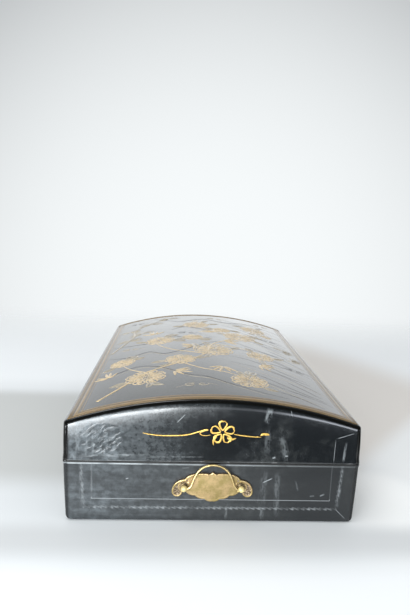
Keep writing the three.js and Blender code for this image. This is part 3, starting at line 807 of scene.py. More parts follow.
lidLacquer = caseLacquer("lid_lacquer", True, {
    "filmScale": 30.0, "filmLow": 0.4, "filmHigh": 0.76, "sheenFrom": 0.12, "sheenTo": -0.66, "filmAndSheenLeft": 0.7,
    "filmAndSheenRight": 0.34, "sheenLeft": 0.46, "sheenRight": -0.05, "cornerFilm": 0.0, "cornerShare": 0.0,
    "grain": 0.7, "grainScale": 230.0, "streakLow": 0.9, "streakHigh": 1.1,
    "scratches": 0.12, "specks": 0.05, "marks": lidMarks, "hairlines": lidHairlines,
    "cornerShade": 0.95, "seamShadeEdge": -0.7 * mm, "lip": 0.7, "rub": 0.5, "cornerRub": 0.08,
    "gloss": 0.26, "glossRight": 0.16, "dull": 0.42, "topFilm": 0.08,
    "coat": 0.2, "coatRight": 0.22, "topCoat": 1.0, "coatRoughness": 0.1, "coatIndex": 1.9,
    "broadScale": 16.0, "broadHeight": 0.4 * mm, "fineScale": 330.0, "fineHeight": 0.15 * mm,
    "dentScale": 280.0, "dents": 0.6 * mm, "dentsElsewhere": 0.0,
})


# Red lacquer of the inside and the rim strips
def redLacquer(name, values):
    material, shader, place = newMaterial(name)
    worn = useGroup(grime, {"Vector": place, "Scale": values["scale"], "Low": 0.4, "High": 0.75})["Mask"]
    scratches = useGroup(scatter, {
        "Vector": place, "Turn": 0.9, "Scale": 70.0, "Stretch": 14.0, "Size": 0.03, "Share": 0.2,
    })["Mask"]
    colour = blendColour(worn, values["red"], values["dark"])
    colour = blendColour(scratches * values["scratchShare"], colour, values["scratch"])
    dress(shader, {"Base Color": colour, "Roughness": blendValue(worn, values["gloss"], values["dull"])})
    height = useGroup(handFinish, {"Vector": place, "Broad Scale": 30.0, "Broad Height": 0.2 * mm})["Height"]
    addBump(shader, height)
    return material


innerLacquer = redLacquer("inner_lacquer", {
    "scale": 24.0, "red": (0.115, 0.014, 0.009, 1), "dark": (0.05, 0.009, 0.007, 1),
    "scratch": (0.22, 0.06, 0.04, 1), "scratchShare": 0.5, "gloss": 0.32, "dull": 0.55,
})
rimLacquer = redLacquer("rim_lacquer", {
    "scale": 40.0, "red": (0.15, 0.02, 0.012, 1), "dark": (0.07, 0.012, 0.009, 1),
    "scratch": (0.3, 0.1, 0.06, 1), "scratchShare": 0.5, "gloss": 0.3, "dull": 0.5,
})


# Gold powder on raised lacquer, rubbed down to the ground in places
goldLook = {
    "grainScale": 2600.0,
    "grain": (0.4, 0.6),
    "grainHeight": 0.02 * mm,
    "wornGloss": 0.55,
    "sideCoatFrom": (8 * mm, 26 * mm),  # from the ends, where the side coat takes over
    "coatRoughness": 0.14,
    "coatIndex": 1.9,
}


def goldPaint(name, values):
    material, shader, place = newMaterial(name)
    worn = useGroup(grime, {
        "Vector": place, "Scale": values["scale"], "Low": values["wearLow"], "High": values["wearHigh"],
    })["Mask"]
    dust = fade(noiseOf(place, goldLook["grainScale"], detail=3.0, roughness=0.6), *goldLook["grain"])
    bright = blendColour(dust, values["gold"], values["deep"])
    fromEnd = halfLength - abs(splitPlace(place)[1])
    dress(shader, {
        "Base Color": blendColour(worn, bright, values["ground"]),
        "Metallic": (1.0 - worn) * values["metal"],
        "Roughness": blendValue(worn, values["gloss"], goldLook["wornGloss"]),
        "Coat Weight": fade(fromEnd, *goldLook["sideCoatFrom"], values["coat"], values["sideCoat"]),
        "Coat Roughness": goldLook["coatRoughness"],
        "Coat IOR": goldLook["coatIndex"],
    })
    addBump(shader, dust * goldLook["grainHeight"])
    return material


flourishGold = goldPaint("flourish_gold", {
    "gold": (0.86, 0.6, 0.16, 1), "deep": (0.62, 0.33, 0.06, 1), "ground": (0.22, 0.09, 0.025, 1),
    "scale": 160.0, "wearLow": 0.56, "wearHigh": 0.78, "metal": 0.55, "gloss": 0.34, "coat": 0.0,
    "sideCoat": 0.0,
})
brightGold = goldPaint("bright_gold", {
    "gold": (0.8, 0.62, 0.36, 1), "deep": (0.66, 0.48, 0.25, 1), "ground": (0.3, 0.23, 0.14, 1),
    "scale": 110.0, "wearLow": 0.46, "wearHigh": 0.72, "metal": 0.15, "gloss": 0.5, "coat": 0.75,
    "sideCoat": 0.85,
})
softGold = goldPaint("soft_gold", {
    "gold": (0.5, 0.42, 0.29, 1), "deep": (0.38, 0.315, 0.21, 1), "ground": (0.2, 0.175, 0.135, 1),
    "scale": 120.0, "wearLow": 0.46, "wearHigh": 0.78, "metal": 0.1, "gloss": 0.5, "coat": 1.0,
    "sideCoat": 1.0,
})
brownBorder = goldPaint("brown_border", {
    "gold": (0.19, 0.127, 0.056, 1), "deep": (0.145, 0.093, 0.04, 1), "ground": (0.08, 0.06, 0.034, 1),
    "scale": 70.0, "wearLow": 0.5, "wearHigh": 0.85, "metal": 0.0, "gloss": 0.5, "coat": 0.12,
    "sideCoat": 0.9,
})
tanBorder = goldPaint("tan_border", {
    "gold": (0.335, 0.228, 0.11, 1), "deep": (0.265, 0.175, 0.08, 1), "ground": (0.14, 0.1, 0.055, 1),
    "scale": 90.0, "wearLow": 0.5, "wearHigh": 0.85, "metal": 0.05, "gloss": 0.5, "coat": 0.24,
    "sideCoat": 0.9,
})


# Dark relief: raised lacquer with a trace of gold dust on it
def makeReliefLacquer():
    values = {
        "black": (0.013, 0.012, 0.012, 1), "dust": (0.3, 0.2, 0.09, 1), "dustShare": 0.6,
        "grainScale": 1500.0, "grain": (0.5, 0.6), "gloss": 0.3, "dull": 0.5,
        "coat": 1.0, "coatRoughness": 0.12, "coatIndex": 1.9,
    }
    material, shader, place = newMaterial("relief_lacquer")
    dust = useGroup(grime, {"Vector": place, "Scale": 70.0, "Low": 0.5, "High": 0.8})["Mask"]
    grains = fade(noiseOf(place, values["grainScale"], detail=3.0, roughness=0.6), *values["grain"])
    dust = dust * grains * values["dustShare"]
    dress(shader, {
        "Base Color": blendColour(dust, values["black"], values["dust"]),
        "Roughness": blendValue(dust, values["gloss"], values["dull"]),
        "Coat Weight": values["coat"],
        "Coat Roughness": values["coatRoughness"],
        "Coat IOR": values["coatIndex"],
    })
    return material


reliefLacquer = makeReliefLacquer()


# Brass, with darker ground where a sheet is sunk below its rim
brassLook = {
    "scratchDepth": 0.015 * mm,
    "groundFade": 0.16 * mm,
    "groundShare": 0.9,
    "groundGloss": 0.62,
    "hatchScale": 950.0,
    "hatch": (0.44, 0.62),
    "hatchHeight": 0.22 * mm,
    "dirtShadeCore": 0.6,  # share of the reach of the dirt and painted shadow round a post where it is full
    "dirtShadeShare": 0.85,
}


def makeBrass(name, values):
    look = brassLook
    material, shader, place = newMaterial(name)
    parts = useGroup(tarnish, {
        "Vector": place, "Clean": values["clean"], "Dull": values["dull"], "Spot": values["spot"],
        "Scale": values["scale"], "Spotting": values["spotting"],
    })
    colour = parts["Colour"]
    rough = blendValue(parts["Mask"], values["gloss"], values["matt"])
    scratches = useGroup(scatter, {
        "Vector": place, "Turn": 1.1, "Scale": 320.0, "Stretch": 10.0, "Size": 0.05, "Share": 0.3,
    })["Mask"]
    height = useGroup(handFinish, {
        "Vector": place, "Broad Scale": values["hammerScale"], "Broad Height": values["hammer"],
        "Fine Scale": 900.0, "Fine Height": 0.01 * mm,
    })["Height"]
    if "ground" in values:
        x, y, z = splitPlace(place)
        depth = abs(y) - halfLength
        sunk = fadeOut(depth, values["groundDepth"], values["groundDepth"] + look["groundFade"])
        hatch = noiseOf(place, look["hatchScale"], detail=3.0, roughness=0.6, distortion=0.4)
        speckled = blendColour(fade(hatch, *look["hatch"]), values["ground"], values["groundLight"])
        colour = blendColour(sunk * look["groundShare"], colour, speckled)
        # Dirt and painted shadow round each post, centred a little above it
        sideways = abs(x) - postX
        upward = z - (postZ + values["shadeUp"])
        fromPost = calc("SQRT", sideways * sideways + upward * upward)
        dirtShaded = fade(fromPost, values["dirtShadeReach"], look["dirtShadeCore"] * values["dirtShadeReach"])
        colour = blendColour(dirtShaded * look["dirtShadeShare"], colour, values["dirtAndShade"])
        rough = blendValue(sunk, rough, look["groundGloss"])
        height = height + hatch * sunk * look["hatchHeight"]
    height = height - scratches * look["scratchDepth"]
    dress(shader, {"Base Color": colour, "Roughness": rough, "Metallic": values.get("metal", 1.0)})
    addBump(shader, height)
    return material


washerLow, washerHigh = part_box("near_handle_washer_right")
postX = (washerLow.x + washerHigh.x) / 2
postZ = (washerLow.z + washerHigh.z) / 2
plateBrass = makeBrass("plate_brass", {
    "clean": (0.54, 0.39, 0.2, 1), "dull": (0.32, 0.25, 0.1, 1), "spot": (0.3, 0.16, 0.09, 1), "scale": 150.0,
    "spotting": 0.6, "gloss": 0.44, "matt": 0.6, "hammerScale": 110.0, "hammer": 0.12 * mm,
    "ground": (0.085, 0.062, 0.045, 1), "groundLight": (0.42, 0.33, 0.24, 1), "groundDepth": 0.68 * mm,
    "dirtAndShade": (0.05, 0.038, 0.025, 1), "dirtShadeReach": 3.6 * mm, "shadeUp": 0.8 * mm,
})
wireBrass = makeBrass("wire_brass", {
    "clean": (0.7, 0.55, 0.27, 1), "dull": (0.5, 0.37, 0.16, 1), "spot": (0.28, 0.18, 0.07, 1),
    "scale": 150.0,
    "spotting": 0.4, "gloss": 0.36, "matt": 0.5, "hammerScale": 200.0, "hammer": 0.03 * mm,
})
ballBrass = makeBrass("ball_brass", {
    "clean": (0.66, 0.56, 0.27, 1), "dull": (0.54, 0.43, 0.19, 1), "spot": (0.4, 0.29, 0.12, 1),
    "scale": 110.0,
    "spotting": 0.3, "metal": 0.2, "gloss": 0.38, "matt": 0.5, "hammerScale": 200.0, "hammer": 0.03 * mm,
})
sheetBrass = makeBrass("sheet_brass", {
    "clean": (0.62, 0.46, 0.22, 1), "dull": (0.42, 0.32, 0.17, 1), "spot": (0.18, 0.11, 0.07, 1),
    "scale": 80.0,
    "spotting": 0.45, "gloss": 0.34, "matt": 0.55, "hammerScale": 90.0, "hammer": 0.14 * mm,
})
print("materials made:", len(bpy.data.materials))


# Case shells
def edgeSamples(low, high, radius, count, steps=6):
    arcs = [radius * (1 - tan(radians(45 * (1 - i / steps)))) for i in range(steps)]
    start, end = low + radius + caseForm["guard"], high - radius - caseForm["guard"]
    middle = [start + (end - start) * i / count for i in range(count + 1)]
    left = [low + a for a in arcs] + [low + radius]
    right = [high - radius] + [high - a for a in reversed(arcs)]
    return left + middle + right


# A block without its top (openSide 1) or bottom (-1), as points, faces and the ring at its mouth. Its upright
# corners are rounded by radius, and the edges of its closed side by edge
def openBlock(low, high, radius, edge, counts, openSide, shape):
    xs = edgeSamples(low.x, high.x, radius, counts[0])
    ys = edgeSamples(low.y, high.y, radius, counts[1])
    reach = 3 * radius + 2 * caseForm["guard"]
    fit = 1e-7
    if openSide > 0:
        zs = [z for z in edgeSamples(low.z, high.z + reach, radius, counts[2]) if z < high.z - fit] + [high.z]
    else:
        zs = [low.z] + [z for z in edgeSamples(low.z - reach, high.z, radius, counts[2]) if z > low.z + fit]
    closed = low.z if openSide > 0 else high.z
    innerLow = Vector((low.x + radius, low.y + radius))
    innerHigh = Vector((high.x - radius, high.y - radius))
    points, index, faces = [], {}, []

    def roundedPoint(x, y, z):
        near = Vector([min(max(value, innerLow[i]), innerHigh[i]) for i, value in enumerate((x, y))])
        away = Vector((x, y)) - near
        outward = max(abs(away.x), abs(away.y)) / radius
        upward = max(0.0, 1 - abs(z - closed) / radius)
        if outward < fit:
            return Vector((x, y, z))
        angle = atan(upward) if outward > 1 - fit else pi / 2 - atan(outward)
        inward = edge * (1 - cos(angle)) + (radius - edge) * (1 - outward)
        flat = near + away.normalized() * (radius - inward)
        if upward < fit:
            return Vector((flat.x, flat.y, z))
        return Vector((flat.x, flat.y, closed + openSide * edge * (1 - sin(angle))))

    def vertex(x, y, z):
        key = (round(x, 7), round(y, 7), round(z, 7))
        if key not in index:
            index[key] = len(points)
            points.append(shape(roundedPoint(x, y, z)))
        return index[key]

    def panel(rows, columns, place):
        for r0, r1 in zip(rows, rows[1:]):
            for c0, c1 in zip(columns, columns[1:]):
                faces.append([vertex(*place(r, c)) for r, c in ((r0, c0), (r1, c0), (r1, c1), (r0, c1))])

    panel(ys, zs, lambda a, b: (low.x, a, b))
    panel(ys, zs, lambda a, b: (high.x, a, b))
    panel(xs, zs, lambda a, b: (a, low.y, b))
    panel(xs, zs, lambda a, b: (a, high.y, b))
    panel(xs, ys, lambda a, b: (a, b, closed))
    mouth = high.z if openSide > 0 else low.z
    ring = [(x, low.y) for x in xs] + [(high.x, y) for y in ys[1:]]
    ring += [(x, high.y) for x in reversed(xs[:-1])] + [(low.x, y) for y in reversed(ys[1:-1])]
    return points, faces, [vertex(x, y, mouth) for x, y in ring]


# An outer and an inner block joined round the mouth by a lip with rounded edges
def shellPiece(name, outer, inner, openSide, body, materials):
    points, outerFaces, outerRing = outer
    innerPoints, innerFaces, innerRing = inner
    start = len(points)
    points = points + innerPoints
    innerRing = [start + i for i in innerRing]
    innerFaces = [[start + i for i in face] for face in innerFaces]
    steps, lip = caseForm["lipSteps"], caseForm["lipRound"]

    def lipLoop(ring, other, k):
        angle = radians(90 * k / steps)
        loop = []
        for a, b in zip(ring, other):
            inward = points[b] - points[a]
            inward.z = 0
            inward.normalize()
            rise = Vector((0, 0, openSide * lip * sin(angle)))
            loop.append(len(points))
            points.append(points[a] + inward * lip * (1 - cos(angle)) + rise)
        return loop

    loops = [outerRing]
    loops += [lipLoop(outerRing, innerRing, k) for k in range(1, steps + 1)]
    loops += [lipLoop(innerRing, outerRing, k) for k in range(steps, 0, -1)]
    loops.append(innerRing)
    lipFaces = []
    for loopA, loopB in zip(loops, loops[1:]):
        for i in range(len(loopA)):
            j = (i + 1) % len(loopA)
            lipFaces.append([loopA[i], loopA[j], loopB[j], loopB[i]])
    faces = outerFaces + lipFaces + innerFaces
    indices = [0] * (len(outerFaces) + len(lipFaces)) + [1] * len(innerFaces)
    return makePiece(name, (points, faces), materials, body, indices)


def baseCase():
    top = seamTop - caseForm["lipRound"]
    low, high = Vector((-halfWidth, -halfLength, 0)), Vector((halfWidth, halfLength, top))
    innerLow, innerHigh = Vector((-innerX, -innerY, floorTop)), Vector((innerX, innerY, top))

    def tapered(p):
        back = flareAt(top - p.z)
        foot = caseForm["footTaper"] * (1 - p.z / top) ** caseForm["taperPower"]
        return Vector((p.x * (1 - (back + foot) / halfWidth), p.y * (1 - back / halfLength), p.z))

    corner, edge, small = caseForm["cornerRound"], caseForm["footRound"], caseForm["innerRound"]
    outer = openBlock(low, high, corner, edge, (20, 30, 12), 1, tapered)
    inner = openBlock(innerLow, innerHigh, small, small, (20, 30, 6), 1, lambda p: p)
    piece = shellPiece("base_case", outer, inner, 1, "base", [baseLacquer, innerLacquer])
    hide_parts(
        "base_bottom_board", "base_front_wall", "base_back_wall", "base_near_wall", "base_far_wall"
    )


lidMouth = lidBottom + caseForm["lipRound"]


def lidCase():
    fadeStart = halfLength - caseForm["cornerRound"] - caseForm["pillowBack"]

    def arched(top, depth, isOuter):
        def shape(p):
            back = flareAt(p.z - lidMouth) if isOuter else 0
            x, y = p.x * (1 - back / halfWidth), p.y * (1 - back / halfLength)
            share = max(0, (p.z - lidMouth) / (top - lidMouth))
            arch = archHeight(x, depth)
            z = p.z + (arch - top) * share
            weight = min(1, max(0, (abs(y) - fadeStart) / caseForm["pillowBack"]))
            lean = pillowAt(arch - z) * weight ** 2 * copysign(1, y) if isOuter else 0
            return Vector((x, y - lean, z))
        return shape

    skin, board = caseForm["skin"], caseForm["topBoard"]
    outerTop = archHeight(halfWidth, skin)
    innerTop = archHeight(railX, board)
    low, high = Vector((-halfWidth, -halfLength, lidMouth)), Vector((halfWidth, halfLength, outerTop))
    innerLow, innerHigh = Vector((-railX, -gableY, lidMouth)), Vector((railX, gableY, innerTop))
    counts = (44, 30, 14)
    corner, edge, small = caseForm["cornerRound"], caseForm["topRound"], caseForm["innerRound"]
    outer = openBlock(low, high, corner, edge, counts, -1, arched(outerTop, skin, True))
    inner = openBlock(innerLow, innerHigh, small, small, counts, -1, arched(innerTop, board, False))
    piece = shellPiece("lid_case", outer, inner, -1, "lid", [lidLacquer, innerLacquer])
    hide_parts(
        "lid_top_board", "lid_front_rail", "lid_back_rail", "lid_near_gable", "lid_far_gable"
    )


baseCase()
lidCase()
print("case shells made")


# Painted and raised ornament, drawn as strokes that lie on the lacquer
crossForm = [(-1.0, -0.4), (-0.72, 0.55), (-0.3, 0.93), (0.3, 0.93), (0.72, 0.55), (1.0, -0.4)]
strokeForm = {
    "lift": (0.045, 0.26),  # least height in mm, and the most as a share of the half width
    "leafTip": 0.06,
    "leafFullness": 0.8,
    "brushRun": (5, 3.2),  # a brush stroke swells over a fifth of its length and thins out a little slower
    "brushFullness": 0.7,
}
# A petal's right side as shares of its length and half width
petalSide = [(0.34, 0.72), (0.74, 1.0), (0.97, 0.45)]
blossomForm = {
    "rings": ((0.42, 1.0, 0.75), (0.2, 0.62, 0.65)),  # shares of the radius at root and tip, and the line
    "ringTurn": 0.35,
    "petalHalf": 0.72,
    "notch": 0.08,
    "vein": (0.05, 0.9, 0.6, 0.66),  # root, tip, half width and fullest place
    "veinRise": 0.55,
    "stamens": 6,
    "stamenReach": (0.05, 0.2),
    "stamenRise": 1.2,
}
leafForm = {"steps": 9, "bulge": (0.6, 0.85), "side": 0.3, "vein": (0.5, 0.9), "veinWidth": (0.35, 0.3)}
needleForm = {
    "spread": 105, "sway": 0.04, "root": 0.12, "reach": (0.86, 1.0), "width": (0.42, 0.6), "rise": 0.22,
}
cloudForm = {
    "curls": ((-1, 1.35), (1, 1.1)),  # side and number of turns
    "steps": 30,
    "radius": (0.1, 0.36),
    "apart": 0.45,
    "flatness": 0.72,
    "tail": (1.5, -0.4),
}


def newStore():
    return {"points": [], "faces": []}


# A stroke along a line of (u, v) in mm. halfAt gives its half width in mm at a share of its length
def addStroke(store, line, halfAt, rise, place, closed=False):
    start = len(store["points"])
    last = len(line) - 1
    wide = len(crossForm)
    for i, (u, v) in enumerate(line):
        ahead = line[(i + 1) % len(line)] if closed else line[min(i + 1, last)]
        behind = line[i - 1] if closed else line[max(i - 1, 0)]
        du, dv = ahead[0] - behind[0], ahead[1] - behind[1]
        length = hypot(du, dv) or 1.0
        du, dv = du / length, dv / length
        half = halfAt(i / last)
        lift = max(strokeForm["lift"][0], min(rise, strokeForm["lift"][1] * half))
        for across, up in crossForm:
            store["points"].append(place(u - dv * half * across, v + du * half * across, up * lift))
    spans = last + 1 if closed else last
    for i in range(spans):
        a = start + i * wide
        b = start + ((i + 1) % (last + 1)) * wide
        for k in range(wide - 1):
            store["faces"].append((a + k, a + k + 1, b + k + 1, b + k))
        store["faces"].append((a + wide - 1, a, b, b + wide - 1))
    if not closed:
        store["faces"].append(tuple(range(start, start + wide)))
        store["faces"].append(tuple(start + last * wide + k for k in range(wide)))


def storePiece(name, store, material, body):
    return makePiece(name, (store["points"], store["faces"]), [material], body)


def leafWidth(half, fullest=0.42):
    power = log(0.5) / log(fullest)
    tip, fullness = strokeForm["leafTip"], strokeForm["leafFullness"]
    return lambda t: tip + half * sin(pi * t ** power) ** fullness


def taper(start, end):
    return lambda t: start + (end - start) * t


def brush(half, tip=0.08):
    swell, thin = strokeForm["brushRun"]
    return lambda t: tip + (half - tip) * min(1.0, swell * t, thin * (1 - t)) ** strokeForm["brushFullness"]


edgeMost = 0.98  # the ornament stops just short of an edge's outermost line


# How far a rounded edge has dropped at a point, in metres: flat is the distance of its start from the middle
def edgeDrop(value, flat):
    radius = caseForm["topRound"]
    past = min(max(0.0, abs(value) - flat), edgeMost * radius)
    return radius - sqrt(radius ** 2 - past ** 2)


topFlatX = halfWidth - caseForm["lipFlare"] - caseForm["topRound"]
topFlatY = halfLength - caseForm["lipFlare"] - caseForm["pillow"] - caseForm["topRound"]


# A point on the lid: u across along the arch, v along the box, both in mm from the crown's middle
def onLid(u, v, h):
    angle = u * mm / skinRadius
    drop = max(edgeDrop(skinRadius * sin(angle), topFlatX), edgeDrop(v * mm, topFlatY))
    radius = skinRadius + h * mm - drop
    return Vector((radius * sin(angle), v * mm, archCentre + radius * cos(angle)))


# A closed band between two rectangles of half sizes (u, v)
def addFrame(store, outer, inner, rise, place, steps=44):
    start = len(store["points"])
    for across, up in crossForm:
        share = (1 - across) / 2
        a, b = (first + (second - first) * share for first, second in zip(outer, inner))
        corners = [(-a, -b), (a, -b), (a, b), (-a, b)]
        for (u0, v0), (u1, v1) in zip(corners, corners[1:] + corners[:1]):
            for i in range(steps):
                t = i / steps
                store["points"].append(place(u0 + (u1 - u0) * t, v0 + (v1 - v0) * t, up * rise))
    count, wide = 4 * steps, len(crossForm)
    for k in range(wide):
        first, second = start + k * count, start + (k + 1) % wide * count
        for i in range(count):
            j = (i + 1) % count
            store["faces"].append((first + i, first + j, second + j, second + i))


def ray(u, v, angle, near, far, steps=6, bend=0.0):
    out = []
    for i in range(steps + 1):
        t = i / steps
        r = near + (far - near) * t
        a = angle + bend * t
        out.append((u + r * cos(a), v + r * sin(a)))
    return out


# A closed petal outline that points away from (u, v)
def petalLoop(u, v, angle, near, far, half, notch=0.0):
    form = [(0, 0)] + petalSide + [(1 - notch, 0)] + [(reach, -out) for reach, out in reversed(petalSide)]
    out = []
    for along, aside in form:
        r, w = near + (far - near) * along, half * aside
        out.append((
            u + r * cos(angle) - w * sin(angle),
            v + r * sin(angle) + w * cos(angle),
        ))
    return smoothLine(out, 4, closed=True)


def addBlossom(store, u, v, radius, petals, turn, place, rise=0.3):
    form = blossomForm
    veinRoot, veinTip, veinHalf, veinFullest = form["vein"]
    for ring, (start, share, line) in enumerate(form["rings"]):
        count = petals if ring == 0 else max(5, petals - 2)
        for k in range(count):
            angle = turn + ring * form["ringTurn"] + 2 * pi * k / count
            half = radius * share * sin(pi / count) * form["petalHalf"]
            loop = petalLoop(u, v, angle, radius * start, radius * share, half, form["notch"])
            addStroke(store, loop, taper(line, line), rise, place, closed=True)
            vein = ray(u, v, angle, radius * (start + veinRoot), radius * share * veinTip)
            addStroke(store, vein, leafWidth(half * veinHalf, veinFullest), rise * form["veinRise"], place)
    for k in range(form["stamens"]):
        angle = turn + 2 * pi * k / form["stamens"]
        line = ray(u, v, angle, *[radius * reach for reach in form["stamenReach"]], 3)
        addStroke(store, line, taper(0.25, 0.75), rise * form["stamenRise"], place)


def addLeaf(store, u, v, angle, length, half, bend, place, rise=0.26):
    for side in (-1, 1):
        line = []
        steps, (bulge, power) = leafForm["steps"], leafForm["bulge"]
        for i in range(steps + 1):
            t = i / steps
            a = angle + bend * t
            offset = side * half * bulge * sin(pi * t ** power)
            line.append((
                u + length * t * cos(a) - offset * sin(a),
                v + length * t * sin(a) + offset * cos(a),
            ))
        addStroke(store, line, leafWidth(half * leafForm["side"]), rise, place)
    near, far = leafForm["vein"]
    vein = ray(u, v, angle, near, length * far, 5, bend * far)
    addStroke(store, vein, leafWidth(*leafForm["veinWidth"]), rise, place)


def addNeedles(store, u, v, radius, count, turn, place, rng):
    form = needleForm
    for k in range(count):
        angle = turn + radians(form["spread"] * (2 * k / (count - 1) - 1))
        angle += rng.uniform(-form["sway"], form["sway"])
        far = radius * rng.uniform(*form["reach"])
        line = ray(u, v, angle, radius * form["root"], far, 4)
        addStroke(store, line, leafWidth(*form["width"]), form["rise"], place)


def addCloud(store, u, v, size, turn, place, half):
    form = cloudForm
    steps, (start, growth) = form["steps"], form["radius"]
    for side, turns in form["curls"]:
        line = []
        for i in range(steps + 1):
            t = i / steps
            a = turns * 2 * pi * t
            r = size * (start + growth * t)
            line.append((side * (size * form["apart"] + r * cos(a)), r * sin(a) * form["flatness"]))
        line.append((side * size * form["tail"][0], size * form["tail"][1]))
        turned = [
            (u + x * cos(turn) - y * sin(turn), v + x * sin(turn) + y * cos(turn))
            for x, y in line
        ]
        addStroke(store, smoothLine(turned, 2), brush(half, 0.15), 0.3, place)


# Layout of the lid's ornament, in mm on the lid
lidLayout = {
    "seed": 11,
    # Outer and inner half sizes of each border band
    "brownBand": ((118.8, 175.2), (114.6, 172.9)),
    "tanBand": ((114.3, 172.7), (110.9, 169.2)),
    "brownLine": ((110.6, 168.9), (109.9, 168.0)),
    "paleLine": ((108.8, 167.2), (108.0, 166.0)),
    "branch": [
        (-98, -152), (-80, -128), (-60, -96), (-28, -70), (-2, -40), (8, 2), (34, 34), (60, 74), (72, 118),
    ],
    "sideBranches": [
        [(-28, -70), (-8, -92), (16, -104), (40, -126)],
        [(-2, -40), (-34, -22), (-54, 8), (-60, 44)],
        [(34, 34), (22, 66), (-2, 88), (-14, 122)],
        [(-60, -96), (-78, -76), (-92, -44)],
        [(8, 2), (36, -6), (58, -22)],
    ],
    "blossoms": [
        (-60, -110, 19, 8), (-28, -60, 16, 8), (8, -24, 21, 9), (44, 50, 20, 9), (68, 106, 17, 8),
        (34, -124, 17, 8), (-52, 26, 17, 8), (-8, 104, 17, 8), (-88, -48, 13, 7), (58, -30, 15, 7),
        (-14, 34, 12, 7), (24, 78, 11, 7),
    ],
    "leaves": 4,  # round each blossom
    "leafStart": 0.95,
    "bamboo": [
        (-34, -98, 335), (22, 20, 10), (-60, 60, 100), (76, 82, 20), (-12, -4, 210), (14, 62, 120),
        (14, -84, 250), (-96, -92, 120), (52, -64, 320),
    ],
    "bambooLeaves": 5,
    "bambooFan": 27,  # degrees from one leaf to the next
    "pines": [
        (-90, 46, 17, 80), (-76, 74, 19, 120), (-94, 96, 16, 60), (-68, 122, 18, 100),
        (-44, 146, 16, 120), (92, 22, 16, 30), (96, -12, 14, -20),
    ],
    "needles": 21,
    "pineTrunk": [(-106, 4), (-96, 34), (-86, 66), (-88, 98), (-70, 128), (-46, 150)],
    "goldClouds": [(20, 148, 13, -0.1), (86, 150, 12, 0.1), (-84, 4, 12, -0.2), (-14, -140, 12, 0.1)],
    "darkClouds": [(-20, 58, 13, -0.2), (90, -58, 12, 0.0), (-88, 144, 10, 0.0), (82, 58, 11, 0.3)],
    "hills": [
        [
            (-109, -78), (-94, -84), (-70, -72), (-48, -82), (-22, -110), (-4, -118), (16, -136), (40, -152),
            (64, -158),
        ],
        [(-109, -18), (-84, -30), (-62, -20), (-44, -34), (-20, -18), (8, 12), (24, 8)],
        [(-109, 30), (-70, 18), (-36, 42), (-16, 24), (12, 38)],
        [(-40, 78), (-22, 92), (4, 76), (28, 86), (46, 74)],
        [(-66, 160), (-30, 128), (2, 142), (36, 126), (62, 140), (108, 124)],
    ],
    "echo": (3, -6),  # a thin second line beside each hill's
    "stream": {
        "from": (-6, 42), "to": (112, -36), "rows": 30, "gap": 9.5, "points": 22, "wave": (4, 9),
        "field": (107, 164), "fewest": 5, "thinEvery": 4,
    },
}


